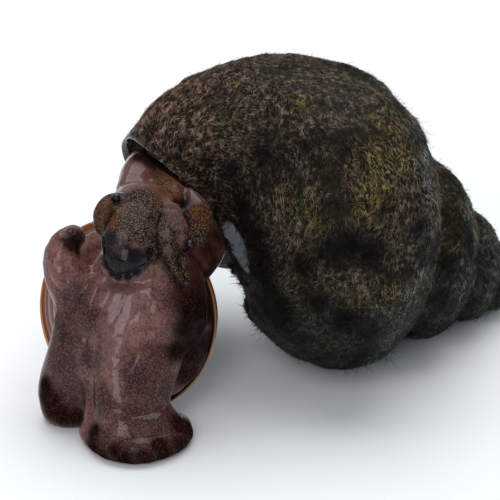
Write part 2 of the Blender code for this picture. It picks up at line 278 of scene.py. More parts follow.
class Nodes:
    """Adds nodes to a tree, row by row, and links them."""

    def __init__(self, tree):
        self.tree = tree
        self.made = 0

    def add(self, kind, settings=(), **links):
        node = self.tree.nodes.new(kind)
        node.location = (self.made % 8 * 190, -(self.made // 8) * 280)
        self.made += 1
        for name, value in dict(settings).items():
            setattr(node, name, value)
        for name, value in links.items():
            self.link(node, name.replace("_", " "), value)
        return node

    def link(self, node, name, value):
        """Links a socket of another node, or sets a number, a vector or a colour of three."""
        socket = node.inputs[int(name[3:])] if name.startswith("in ") else node.inputs[name]
        if isinstance(value, bpy.types.NodeSocket):
            self.tree.links.new(value, socket)
        else:
            socket.default_value = (*value, 1) if socket.type == "RGBA" else value

    def math(self, operation, first, second=0.5, clamp=False):
        node = self.add("ShaderNodeMath", {"operation": operation, "use_clamp": clamp})
        self.link(node, "in 0", first)
        self.link(node, "in 1", second)
        return node.outputs[0]

    def times(self, first, *others):
        for other in others:
            first = self.math("MULTIPLY", first, other)
        return first

    def plus(self, first, *others):
        for other in others:
            first = self.math("ADD", first, other)
        return first

    def rest(self, value):
        """What a value leaves up to 1."""
        return self.math("SUBTRACT", 1.0, value, clamp=True)

    def mix(self, share, first, second, blend="MIX"):
        node = self.add("ShaderNodeMix", {"data_type": "RGBA", "blend_type": blend})
        for index, value in ((0, share), (6, first), (7, second)):
            self.link(node, f"in {index}", value)
        return node.outputs[2]

    def lit(self, colour, level):
        """A colour made brighter or darker by a level."""
        grey = self.add("ShaderNodeCombineColor", Red=level, Green=level, Blue=level)
        return self.mix(1.0, colour, grey.outputs["Color"], "MULTIPLY")

    def place(self):
        return self.add("ShaderNodeTexCoord").outputs["Object"]

    def noise(self, vector, size, detail=3.0, rough=0.55, twist=0.0):
        """Noise whose lumps are about a size in metres."""
        node = self.add("ShaderNodeTexNoise", Vector=vector, Scale=1.0 / size, Detail=detail,
                        Roughness=rough, Distortion=twist)
        return node.outputs["Fac"]

    def ramp(self, value, low, high):
        """0 under low, 1 over high, and a soft step between."""
        node = self.add("ShaderNodeMapRange", {"interpolation_type": "SMOOTHSTEP"}, Value=value,
                        From_Min=low, From_Max=high)
        return node.outputs["Result"]

    def attribute(self, name):
        return self.add("ShaderNodeAttribute", {"attribute_name": name}).outputs["Fac"]

    def bump(self, height, strength, distance):
        node = self.add("ShaderNodeBump", Height=height, Strength=strength, Distance=distance)
        return node.outputs["Normal"]


def shade(colour, share):
    return tuple(part * share for part in colour)


def new_material(name, **settings):
    material = bpy.data.materials.new(name)
    material.use_nodes = True
    shader = material.node_tree.nodes["Principled BSDF"]
    shader.location = (1700, 0)
    material.node_tree.nodes["Material Output"].location = (2050, 0)
    for socket, value in settings.items():
        shader.inputs[socket.replace("_", " ")].default_value = value
    return material, Nodes(material.node_tree), shader


def dress(obj, material):
    obj.data.materials.clear()
    obj.data.materials.append(material)


# The shell's own geometry

def section_point(around, inset=0.0):
    """Radius and depth of the section's edge, in units that grow along the spiral."""
    c, s = math.cos(around), math.sin(around)
    outer, base = (1 if c > 0 else -1), (1 if s > 0 else -1)
    power = SECTION_POWERS[outer, base]
    width = (OUTER_WIDTH if c > 0 else INNER_WIDTH) - inset / UNIT
    height = (BASE_HEIGHT if s > 0 else APEX_HEIGHT) - inset / UNIT
    across = outer * width * abs(c) ** (2 / power)
    along = base * height * abs(s) ** (2 / power)
    radius = SECTION_RADIUS + across * math.cos(SECTION_TURN) - along * math.sin(SECTION_TURN)
    depth = SECTION_HEIGHT + across * math.sin(SECTION_TURN) + along * math.cos(SECTION_TURN)
    return max(radius, 0.01), depth


def shell_point(turn, around, inset=0.0):
    """A point of the whorl's surface, at an angle about the axis and one round the section."""
    radius, depth = section_point(around, inset)
    angle = turn + LIP_SLANT * math.sin(around) + LIP_BOW * math.cos(around)
    scale = UNIT * math.exp(SPIRAL * angle)
    where = angle + LIP_ROLL
    across = RISE * math.cos(where) - SIDE * math.sin(where)
    return APEX + across * (radius * scale) - AXIS * (depth * scale)


def section_reach(radius, depth):
    """How far out of the section a place lies: under 1 inside it, 1 on its edge."""
    a, b = radius - SECTION_RADIUS, depth - SECTION_HEIGHT
    across = a * math.cos(SECTION_TURN) + b * math.sin(SECTION_TURN)
    along = b * math.cos(SECTION_TURN) - a * math.sin(SECTION_TURN)
    width = np.where(across > 0, OUTER_WIDTH, INNER_WIDTH)
    height = np.where(along > 0, BASE_HEIGHT, APEX_HEIGHT)
    power = np.select([(across > 0) & (along > 0), (across <= 0) & (along > 0),
                       (across <= 0) & (along <= 0)],
                      [SECTION_POWERS[1, 1], SECTION_POWERS[-1, 1], SECTION_POWERS[-1, -1]],
                      SECTION_POWERS[1, -1])
    total = np.abs(across / width) ** power + np.abs(along / height) ** power
    return total ** (1 / power)


def suture_distance(points, turn, around):
    """Distance from each point of the outer surface to the next whorl: under 0 is hidden."""
    angle = turn + LIP_SLANT * np.sin(around) + LIP_BOW * np.cos(around)
    scale = UNIT * np.exp(SPIRAL * angle)
    local = points - np.array(APEX)
    depth = -local @ np.array(AXIS) / scale
    radius = np.linalg.norm(local + np.outer(depth * scale, np.array(AXIS)), axis=1) / scale
    earlier = section_reach(radius * WHORL_GROWTH, depth * WHORL_GROWTH) - 1
    later = section_reach(radius / WHORL_GROWTH, depth / WHORL_GROWTH) - 1
    later = np.where(angle + math.tau < PAST_LIP, later * WHORL_GROWTH, FAR_OFF)
    return np.minimum(earlier / WHORL_GROWTH, later) * scale * 0.5


def select_ring(mesh, test):
    bm = bmesh.from_edit_mesh(mesh)
    bm.select_mode = {"VERT"}
    for vert in bm.verts:
        vert.select = test(vert)
    bm.select_flush_mode()
    bmesh.update_edit_mesh(mesh)


def mark_ring(mesh, turn, along, inset=None):
    """Labels the selected ring, and sets it on the section's formula where an inset is given."""
    bm = bmesh.from_edit_mesh(mesh)
    layers = bm.verts.layers.float
    for vert in bm.verts:
        if vert.select:
            vert[layers["turn"]] = turn
            vert[layers["along"]] = along
            if inset is not None:
                vert.co = shell_point(turn, vert[layers["around"]], inset)
    bmesh.update_edit_mesh(mesh)


def wind(mesh, step, count, turn, along, to_along):
    """Extrudes the selected ring, turns it about the axis and scales it about the apex."""
    about_axis = Matrix((RISE, SIDE, AXIS)).transposed()
    growth = math.exp(SPIRAL * step)
    for n in range(count):
        bpy.ops.mesh.extrude_edges_move()
        bpy.ops.transform.rotate(value=-step, orient_axis="Z", orient_type="GLOBAL",
                                 orient_matrix=about_axis, orient_matrix_type="GLOBAL",
                                 constraint_axis=(False, False, True), center_override=APEX)
        bpy.ops.transform.resize(value=(growth, growth, growth), center_override=APEX)
        turn += step
        mark_ring(mesh, turn, along + (to_along - along) * (n + 1) / count)
    return turn


RING_POINTS = 28
CAVITY_RINGS = 12
CAVITY_TURN = 0.95             # how far the opening runs back from the lip, radians
TUBE_END = 1.34                # how far past the lip the base leaves the opening free, radians
CAP_TURN = 5.0                 # how far back from the lip the base is bridged, radians
CAP_AROUND = (-0.2, 2.6)       # the part of the section that is the base, radians
CAP_THICK = 0.6 * MM
CAP_LIFT = 0.05 * MM           # how far the base's sheet stands off the whorl
CAP_CUTS = 15                  # cuts in each edge of the sheet
LEAST_SPAN = 0.3               # turn that a face has to bridge to belong to the sheet, radians
LEAST_AREA = 4 * MM * MM       # smaller scraps of the sheet are dropped
SNAP = 0.5 * MM                # points so near the tube's wall move to it
HIDING_REACH = 9 * MM          # how far under the sheet the shell is taken as hidden
RIDGE_PITCHES = (0.019, 0.027, 0.041, 0.067, 0.13)  # from ridge to ridge, in radians of turn

# Labels along the wall: near 0 at the apex, RIM_ALONG outside at the lip, 1 deep in the opening
RIM_ALONG, LINING_ALONG = 0.88, 0.9
# The rings over the lip's edge: turn, label and share of the wall that they are set in
LIP_RINGS = ((-0.012, LINING_ALONG, 0.75), (0.004, 0.89, 0.35), (-0.006, RIM_ALONG, 0.0))
# The outside from the lip to the apex: parts of a whorl, and the rings in each
WHORL_PARTS = ((0.06, 2), (0.94, 42), (1.0, 36), (1.0, 28), (1.0, 20), (0.5, 8))


def wind_shell(wall):
    """The whorls, drawn from inside the opening out to the lip, and back outside to the apex."""
    bpy.ops.mesh.primitive_circle_add(vertices=RING_POINTS, radius=0.01)
    shell = name_piece(bpy.context.object, "shell_surface")
    mesh = shell.data
    for name in ("turn", "along", "around"):
        mesh.attributes.new(name, "FLOAT", "POINT")
    mesh.attributes["around"].data.foreach_set(
        "value", [math.tau * i / RING_POINTS for i in range(RING_POINTS)])
    with edit_mode():
        select_ring(mesh, lambda vert: True)
        mark_ring(mesh, -CAVITY_TURN, 1.0, wall)
        wind(mesh, CAVITY_TURN * 0.96 / CAVITY_RINGS, CAVITY_RINGS, -CAVITY_TURN, 1.0,
             LINING_ALONG + 0.003)
        for turn, along, share in LIP_RINGS:
            bpy.ops.mesh.extrude_edges_move()
            mark_ring(mesh, turn, along, wall * share)
        for share, count in WHORL_PARTS:
            part = 0.94 * RIM_ALONG / WHORLS * share
            turn = wind(mesh, -share * math.tau / count, count, turn, along, along - part)
            along -= part
        bpy.ops.mesh.edge_face_add()
        select_ring(mesh, lambda vert: vert.index < RING_POINTS)
        bpy.ops.mesh.edge_face_add()
        select_mesh()
        bpy.ops.mesh.normals_make_consistent(inside=False)
    settle_order(shell, "turn", "along", "around")
    return shell


def around_of(shell):
    """The angle round the section, read back from the two labels that blend without a seam."""
    return np.arctan2(read_value(shell, "round_y"), read_value(shell, "round_x"))


def unwrap_shell(shell):
    """An unwrap of the spiral: along it to the right, round the section upwards."""
    mesh = shell.data
    along, around = read_value(shell, "along"), read_value(shell, "around")
    layer = mesh.uv_layers.new(name="Spiral")
    for face in mesh.polygons:
        ring = around[list(face.vertices)] / math.tau
        if len(ring) > 4:
            continue
        seam = ring.max() > 0.7 and ring.min() < 0.3
        for corner, vert, place in zip(face.loop_indices, face.vertices, ring):
            layer.data[corner].uv = (along[vert], place + (1 if seam and place < 0.3 else 0))
    store_value(shell, "round_x", np.cos(around))
    store_value(shell, "round_y", np.sin(around))


class SNAIL_OT_shell(Operator):
    """Winds the shell, raises its growth ridges and gives it its skin and its lining"""
    bl_idname = "snail.shell"
    bl_label = "Shell"

    def execute(self, context):
        settings = context.scene.snail_shell
        deselect_all()
        shell = wind_shell(settings.wall)
        unwrap_shell(shell)
        mod = shell.modifiers.new("Fine", "SUBSURF")
        mod.levels = mod.render_levels = 2
        apply_all(shell)
        turn, along = read_value(shell, "turn"), read_value(shell, "along")
        around = around_of(shell)
        points, normals = coords_of(shell), normals_of(shell)
        outside = smooth_step(RIM_ALONG + 0.008, RIM_ALONG - 0.004, along)
        labels = {"outside": outside, "young": young_growth(turn),
                  "depth": smooth_step(LINING_ALONG, LINING_ALONG + 0.03, along),
                  "suture": suture_distance(points, turn, around),
                  "shoulder": shoulder_band(turn, around)}
        for name, values in labels.items():
            store_value(shell, name, values)
        size = np.exp(SPIRAL * turn)
        ridges = growth_ridges(turn, around)
        lumps = waves(points, 5.5 * MM, 3) * 0.16 * MM + waves(points, 2.2 * MM, 4) * 0.07 * MM
        raised = outside * (ridges * settings.relief * size + lumps * size)
        points += normals * raised[:, None]
        points[:, 2] = np.maximum(points[:, 2], 0.0)
        move_to(shell, points)
        activate(shell)
        bpy.ops.object.shade_smooth()
        skin = shell_material(settings, context.scene.snail_algae)
        dress(shell, skin)
        cover_base(shell, skin)
        sculpt = Sculpt(shell)
        for name, spots in SHELL_SPOTS.items():
            store_value(shell, name, sculpt.near_spots(spots))
        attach(shell, BODY)
        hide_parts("shell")
        return {"FINISHED"}


def growth_ridges(turn, around):
    """Ridges along the lines of growth: uneven, and strongest behind the lip."""
    draw = np.random.default_rng(11)
    total = np.zeros(len(turn))
    for pitch in RIDGE_PITCHES:
        shift = draw.uniform(0, math.tau)
        wander = 0.9 * np.sin(around * 2 + shift) + 0.6 * np.sin(around * 5 + 2 * shift)
        total += np.sin(math.tau * turn / pitch + shift + wander) * draw.uniform(0.4, 1.0)
    near_lip = smooth_step(-0.22, -0.02, turn)
    return total * (0.5 + 1.1 * near_lip)


def young_growth(turn):
    """1 on the last half turn behind the lip, where the skin is russet and thinly grown."""
    return smooth_step(-1.5, -0.5, turn)


def shoulder_band(turn, around):
    """1 on the shoulder of the whorls, beside the suture, where the growth is pale, partly as a
    painted sheen.
    """
    spire = smooth_step(-6.5, -8.5, turn)
    return np.exp(-((around + 1.15) / (0.16 + 0.12 * spire)) ** 2) * smooth_step(-1.6, -2.4, turn)


def shell_material(settings, algae):
    material, nodes, shader = new_material("Shell skin", Roughness=0.5, Specular_IOR_Level=0.08)
    place = nodes.place()
    grain = nodes.noise(place, 0.5 * MM, 5.0, 0.6)
    inside = nodes.rest(nodes.attribute("outside"))
    lining = nodes.math("MAXIMUM", nodes.times(inside, nodes.attribute("depth")),
                        nodes.ramp(nodes.attribute("bare"), 0.35, 0.65))
    # The horny skin is darkened under the dim markings: painted shade
    horn = nodes.mix(nodes.times(nodes.attribute("dim"), 0.85), settings.periostracum, (0, 0, 0))
    grown = nodes.mix(nodes.ramp(grain, 0.45, 0.78), horn, growth_colour(nodes, algae, place))
    cloud = nodes.mix(nodes.noise(place, 2.0 * MM), shade(settings.nacre, 0.8), settings.nacre)
    nodes.link(shader, "Base Color", nodes.mix(lining, grown, cloud))
    nodes.link(shader, "Coat Weight", nodes.times(inside, nodes.rest(lining)))
    nodes.link(shader, "Normal", nodes.bump(grain, 0.5, 0.1 * MM))
    return material


def base_hull(shell):
    """A taut sheet over the hollow of the axis: the hull of the last whorl's base."""
    turn, along, around = read_value(shell, "turn"), read_value(shell, "along"), around_of(shell)
    base = (along < RIM_ALONG) & (turn > -CAP_TURN) & (turn < 0)
    base &= (around > CAP_AROUND[0]) & (around < CAP_AROUND[1])
    deselect_all()
    bpy.ops.mesh.primitive_cube_add(size=0.001)
    cap = name_piece(bpy.context.object, "base_cap")
    cap.data.clear_geometry()
    cap.data.from_pydata(coords_of(shell)[base].tolist(), [], [])
    store_value(cap, "turn", turn[base])
    with edit_mode():
        bpy.ops.mesh.convex_hull()
        bm = bmesh.from_edit_mesh(cap.data)
        label = bm.verts.layers.float["turn"]
        spare = []
        for face in bm.faces:
            found = [vert[label] for vert in face.verts]
            if max(found) - min(found) < LEAST_SPAN or face.normal.dot(-AXIS) < 0.3:
                spare.append(face)
        bmesh.ops.delete(bm, geom=spare, context="FACES")
        bmesh.update_edit_mesh(cap.data)
        select_mesh()
        bpy.ops.mesh.delete_loose(use_verts=True, use_edges=True, use_faces=False)
    settle_order(cap, "turn")
    with edit_mode():
        bpy.ops.mesh.subdivide(number_cuts=CAP_CUTS)
        bpy.ops.mesh.quads_convert_to_tris()
    settle_order(cap, "turn")
    return cap


def cavity_depth(points, inset):
    """Over 0 in the tube of the opening, which is thought on past the lip, and 0 on its wall."""
    local = points - np.array(APEX)
    depth = -local @ np.array(AXIS)
    flat = local + np.outer(depth, np.array(AXIS))
    where = np.arctan2(-flat @ np.array(SIDE), flat @ np.array(RISE))
    angle = (where - LIP_ROLL + math.pi) % math.tau - math.pi
    scale = UNIT * np.exp(SPIRAL * angle)
    reach = section_reach(np.linalg.norm(flat, axis=1) / scale, depth / scale)
    return np.minimum(1 - 2 * inset / UNIT - reach,
                      np.minimum(TUBE_END - angle, angle + CAVITY_TURN) / 2)


def drop_scraps(bm, least):
    """Deletes the islands of the mesh whose area is under the least."""
    loose = set(bm.faces)
    scraps = []
    while loose:
        island, front = [], [loose.pop()]
        while front:
            face = front.pop()
            island.append(face)
            for edge in face.edges:
                for other in edge.link_faces:
                    if other in loose:
                        loose.remove(other)
                        front.append(other)
        if sum(face.calc_area() for face in island) < least:
            scraps += island
    bmesh.ops.delete(bm, geom=scraps, context="FACES")


def open_tube(cap, inset):
    """Cuts the tube of the opening out of the sheet: its near points move to the tube's wall."""
    points = coords_of(cap)
    step = 0.01 * MM
    for _ in range(3):
        depth = cavity_depth(points, inset)
        slope = np.stack([cavity_depth(points + step * axis, inset) - depth
                          for axis in np.eye(3)], 1) / step
        steep = (slope ** 2).sum(1)
        near = (np.abs(depth) < SNAP * np.sqrt(steep)) & (steep > 0)
        points[near] -= slope[near] * (depth[near] / steep[near])[:, None]
    move_to(cap, points)
    with edit_mode():
        bm = bmesh.from_edit_mesh(cap.data)
        bm.faces.ensure_lookup_table()
        centres = np.array([face.calc_center_median() for face in bm.faces])
        inner = [bm.faces[i] for i in np.nonzero(cavity_depth(centres, inset) > 0)[0]]
        bmesh.ops.delete(bm, geom=inner, context="FACES")
        bmesh.ops.remove_doubles(bm, verts=bm.verts, dist=step)
        bmesh.ops.dissolve_degenerate(bm, edges=bm.edges, dist=step)
        drop_scraps(bm, LEAST_AREA)
        bmesh.update_edit_mesh(cap.data)
    settle_order(cap, "turn")


def cover_base(shell, skin):
    """Joins the taut sheet to the shell, thickened, and marks the skin that it hides."""
    wall = bpy.context.scene.snail_shell.wall
    cap = base_hull(shell)
    activate(cap)
    open_tube(cap, wall)
    dress(cap, skin)
    tree = BVHTree.FromObject(cap, bpy.context.evaluated_depsgraph_get())
    points = coords_of(shell)
    hidden = np.zeros(len(points))
    sheet = points.copy()
    for index, point in enumerate(map(Vector, points)):
        place, normal, _, gap = tree.find_nearest(point, HIDING_REACH)
        if place is not None and gap > 0.2 * MM and (point - place).dot(normal) < -0.7 * gap:
            hidden[index] = 1.0
            sheet[index] = place
    hidden *= smooth_step(RIM_ALONG + 0.01, RIM_ALONG - 0.01, read_value(shell, "along"))
    hidden *= cavity_depth(sheet, wall) < 0
    store_value(shell, "open", 1.0 - hidden)
    labels = {"along": 0.5, "around": 1.0, "round_x": math.cos(1.0), "round_y": math.sin(1.0),
              "outside": 1.0, "depth": 0.0, "suture": 6 * MM, "shoulder": 0.0, "open": 1.0,
              "young": young_growth(read_value(cap, "turn"))}
    for name, values in labels.items():
        store_value(cap, name, values)
    arm = coords_of(cap) - np.array(APEX)
    flat = np.stack([arm @ np.array(SIDE), arm @ np.array(RISE)], 1) / (60 * MM) + (1.4, 0.5)
    corners = read_rows(cap.data.loops, "vertex_index", kind=np.int32)
    layer = cap.data.uv_layers.new(name="Spiral")
    layer.data.foreach_set("uv", flat[corners].astype(np.float32).ravel())
    move_to(cap, coords_of(cap) + normals_of(cap) * CAP_LIFT)
    thick = cap.modifiers.new("Wall", "SOLIDIFY")
    thick.thickness, thick.offset = CAP_THICK, -1.0
    apply_all(cap)
    activate(shell)
    cap.select_set(True)
    bpy.ops.object.join()


# The coat of algae

def tuft_template():
    """One tuft along X, a unit long and wide: a three-sided blade, broadest near its root."""
    deselect_all()
    bpy.ops.mesh.primitive_cone_add(vertices=3, radius1=0.5, radius2=0.0, depth=1.0,
                                    end_fill_type="NGON", location=(0.5, 0.0, 0.0),
                                    rotation=(0.0, math.pi / 2, 0.0))
    tuft = bpy.context.object
    bpy.ops.object.transform_apply(location=True, rotation=True, scale=True)
    with edit_mode():
        bpy.ops.mesh.bisect(plane_co=(0.45, 0.0, 0.0), plane_no=(1.0, 0.0, 0.0))
        select_ring(tuft.data, lambda vert: 0.3 < vert.co.x < 0.6)
        bpy.ops.transform.resize(value=(1.0, 1.55, 1.55), center_override=(0.45, 0.0, 0.0))
        select_mesh()
        bpy.ops.mesh.normals_make_consistent(inside=False)
        bpy.ops.mesh.quads_convert_to_tris()
    points = coords_of(tuft)
    corners = np.array([list(face.vertices) for face in tuft.data.polygons])
    bpy.data.objects.remove(tuft)
    return points, corners


def scatter(obj, count, weight, seed):
    """Roots over a surface, denser where the weight is high, with what the surface says there."""
    mesh = obj.data
    mesh.calc_loop_triangles()
    corners = read_rows(mesh.loop_triangles, "vertices", 3, np.int32)
    loops = read_rows(mesh.loop_triangles, "loops", 3, np.int32)
    uv = read_rows(mesh.uv_layers["Spiral"].data, "uv", 2)
    points, normals = coords_of(obj), normals_of(obj)
    a, b, c = (points[corners[:, k]] for k in range(3))
    area = np.linalg.norm(np.cross(b - a, c - a), axis=1) * weight[corners].mean(1)
    draw = np.random.default_rng(seed)
    face = draw.choice(len(corners), count, p=area / area.sum())
    share = draw.dirichlet((1.0, 1.0, 1.0), count)

    def blend(values):
        return (values * share[..., None]).sum(1)

    found = {"place": blend(points[corners[face]]), "uv": blend(uv[loops[face]]),
             "normal": unit_rows(blend(normals[corners[face]]))}
    for name in ("turn", *MARKINGS):
        found[name] = (read_value(obj, name)[corners[face]] * share).sum(1)
    return found, draw


def mesh_of(name, points, corners, uv, labels):
    mesh = bpy.data.meshes.new(name)
    mesh.vertices.add(len(points))
    mesh.vertices.foreach_set("co", points.astype(np.float32).ravel())
    mesh.loops.add(corners.size)
    mesh.loops.foreach_set("vertex_index", corners.astype(np.int32).ravel())
    mesh.polygons.add(len(corners))
    mesh.polygons.foreach_set("loop_start", np.arange(0, corners.size, 3, dtype=np.int32))
    mesh.update(calc_edges=True)
    mesh.shade_smooth()
    layer = mesh.uv_layers.new(name="OFBake")
    layer.data.foreach_set("uv", uv[corners.ravel()].astype(np.float32).ravel())
    for label, values in labels.items():
        mesh.attributes.new(label, "FLOAT", "POINT").data.foreach_set(
            "value", values.astype(np.float32))
    obj = bpy.data.objects.new(name, mesh)
    bpy.context.scene.collection.objects.link(obj)
    return obj


UV_PATCH = 0.003               # width of a tuft's patch in the unwrap
TUFT_SINK = 0.04 * MM          # how deep a tuft's root stands in the shell
LIP_HEADING = math.radians(75)  # how far the tufts turn to lie along the lip
LEAST_HEIGHT = 0.02 * MM       # how near the floor a tuft may come


def grow_tufts(name, template, roots, draw, length, width, lift, spread):
    """One coat piece: a tuft at every root, laid along the spiral and lifted a little."""
    count = len(roots["place"])
    normal = roots["normal"]
    arm = roots["place"] - np.array(APEX)
    flow = -(SPIRAL * arm - np.cross(np.array(AXIS), arm))
    flow = unit_rows(flow - normal * (flow * normal).sum(1)[:, None])
    across = np.cross(normal, flow)
    along_lip = smooth_step(-0.5, -0.12, roots["turn"]) * LIP_HEADING
    swirl = 0.45 * waves(roots["place"], 5.0 * MM, 31) * (1 - along_lip)
    turn = (draw.normal(0.0, spread, count) + swirl + along_lip)[:, None]
    ahead = flow * np.cos(turn) + across * np.sin(turn)
    beside = np.cross(normal, ahead)
    long = length * draw.lognormal(0.0, 0.28, count) * (1 + 1.2 * roots["fringe"] * (lift > 0.5))
    wide = width * draw.uniform(0.65, 1.35, count)
    rise = np.abs(draw.normal(lift, lift * 0.6, count))
    curl = draw.normal(0.0, 0.16, count)
    shape, corners = template
    x, y, z = (shape[None, :, k] for k in range(3))
    reach = x * long[:, None]
    up = reach * np.sin(rise)[:, None] * (1 - 0.35 * x) + z * wide[:, None] * 0.7 - TUFT_SINK
    out = reach * np.cos(rise)[:, None]
    sway = y * wide[:, None] + curl[:, None] * x * x * long[:, None]
    points = (roots["place"][:, None] + ahead[:, None] * out[..., None]
              + beside[:, None] * sway[..., None] + normal[:, None] * up[..., None])
    points = points.reshape(-1, 3)
    points[:, 2] = np.maximum(points[:, 2], LEAST_HEIGHT)
    step = len(shape)
    faces = (corners[None] + (np.arange(count) * step)[:, None, None]).reshape(-1, 3)
    uv = roots["uv"][:, None] + UV_PATCH * shape[None, :, :2] - (UV_PATCH / 2, 0)
    labels = {"tone": np.repeat(draw.random(count), step), "tip": np.tile(shape[:, 0], count)}
    for marking in MARKINGS:
        labels[marking] = np.repeat(roots[marking], step)
    return mesh_of(name, points, faces, uv.reshape(-1, 2), labels)


# The coat's pieces: share of the tufts, share at the fringe, length and width against the usual
# ones, lift off the shell and spread of the heading in radians
COAT = (("algae_mat_1", 1.0, 0, 1.1, 0.85, 0.14, 0.28),
        ("algae_mat_2", 1.0, 0, 1.0, 0.95, 0.12, 0.26),
        ("algae_mat_3", 1.0, 0, 1.2, 0.80, 0.18, 0.32),
        ("algae_mat_4", 1.0, 0, 0.9, 0.85, 0.22, 0.40),
        ("algae_mat_5", 1.0, 0, 1.0, 0.85, 0.16, 0.50),
        ("algae_mat_6", 1.0, 0, 0.8, 1.00, 0.25, 0.70),
        ("algae_strands", 0.9, 0, 1.7, 0.50, 0.12, 0.28),
        ("algae_hairs", 0.6, 5, 1.3, 0.40, 0.75, 1.20))


class SNAIL_OT_algae(Operator):
    """Grows the coat of fine algae over the shell, in pieces of small solid tufts"""
    bl_idname = "snail.algae"
    bl_label = "Algae"

    def execute(self, context):
        settings = context.scene.snail_algae
        shell = bpy.data.objects["shell_surface"]
        template = tuft_template()
        label = {name: read_value(shell, name)
                 for name in ("suture", "open", "bare", "outside", "turn", "fringe")}
        even = smooth_step(-0.1 * MM, 0.15 * MM, label["suture"])
        even *= label["open"] * (1 - smooth_step(0.3, 0.6, label["bare"]))
        even *= label["outside"] * smooth_step(0.0, 0.4 * MM, coords_of(shell)[:, 2])
        even *= 0.3 + 0.7 * smooth_step(-0.01, -0.10, label["turn"])
        even /= np.exp(SPIRAL * label["turn"] * 0.3)
        material = algae_material(settings)
        for seed, (name, share, fringed, long, wide, lift, spread) in enumerate(COAT):
            count = round(settings.tufts * share * (1.0))
            weight = even * (1 + fringed * label["fringe"])
            roots, draw = scatter(shell, count, weight, 100 + seed)
            piece = grow_tufts(name, template, roots, draw, settings.length * long,
                               settings.width * wide, lift, spread)
            dress(piece, material)
            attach(piece, BODY)
        return {"FINISHED"}


# Markings of the shell: a pixel of the photograph and a radius in millimetres each. The dim spots
# are painted shade; the white spots are pale growth, partly a painted sheen.
SHELL_SPOTS = {
    "dim": ((160, 150, 0.7), (175, 159, 0.8), (190, 170, 0.9), (205, 184, 1.2),
            (218, 202, 1.5), (230, 222, 1.5), (252, 268, 1.8), (258, 300, 1.8), (272, 318, 1.6),
            (244, 205, 2.2), (256, 232, 2.0), (262, 250, 1.8), (266, 276, 2.2), (264, 300, 2.0),
            (228, 172, 1.7), (240, 198, 2.0), (246, 224, 2.0), (262, 262, 2.6), (270, 290, 2.6),
            (285, 312, 2.2), (350, 243, 2.6), (335, 250, 2.4), (372, 252, 2.2), (262, 155, 1.8),
            (447, 262, 1.6), (345, 318, 2.4), (318, 300, 1.8), (254, 245, 1.6), (305, 265, 1.8),
            (420, 225, 1.4), (150, 133, 0.9), (180, 146, 0.9), (205, 160, 1.1)),
    "olive": ((372, 85, 2.0), (385, 130, 2.4), (397, 150, 2.2), (375, 165, 2.2), (380, 190, 2.0),
              (362, 205, 1.8), (345, 165, 1.4), (455, 205, 2.6), (462, 235, 2.2), (450, 188, 2.0),
              (385, 300, 1.4), (395, 280, 1.4), (352, 300, 1.2), (310, 215, 1.6), (290, 190, 1.2),
              (445, 180, 1.4), (300, 100, 0.8), (235, 80, 0.8)),
    "green": ((365, 78, 1.5), (385, 95, 1.8), (400, 110, 1.6), (410, 125, 1.4), (417, 140, 1.4),
              (225, 125, 1.5), (330, 180, 1.0), (335, 352, 1.2), (360, 357, 1.3), (385, 352, 1.5),
              (402, 343, 1.3), (300, 205, 1.0), (325, 290, 1.2), (280, 130, 1.0), (245, 60, 1.0)),
    # White: pale growth, partly a painted sheen along the edges where the coat is seen edge-on
    "white": ((422, 155, 1.0), (428, 170, 1.1), (432, 185, 1.1), (434, 202, 1.0), (434, 225, 0.8),
              (428, 252, 0.6), (420, 280, 0.6), (403, 308, 0.5), (248, 250, 0.6), (247, 275, 0.6),
              (470, 262, 0.9), (479, 285, 0.9), (252, 300, 0.5), (488, 240, 0.9)),
    "fringe": ((335, 355, 1.4), (360, 360, 1.6), (385, 353, 1.6), (402, 343, 1.3),
               (395, 105, 1.6), (412, 130, 1.6)),
    "bare": ((230, 230, 1.0), (235, 239, 1.1), (239, 249, 1.1), (242, 259, 0.9), (244, 266, 0.6)),
}
# The markings that tint the growth, and that the tufts take from the shell under them; dim is
# painted shade, and shoulder and white are partly a painted sheen
MARKINGS = ("shoulder", "young", "fringe", "dim", "olive", "green", "white")
RUSSET_DARK, RUSSET = (0.11, 0.062, 0.048), (0.46, 0.27, 0.205)
# Casts of single tufts: between which values of their hue, how strong and which colour
CASTS = ((0.28, 0.20, 0.6, (0.95, 0.62, 0.72)), (0.74, 0.84, 0.7, (0.85, 1.0, 0.55)))


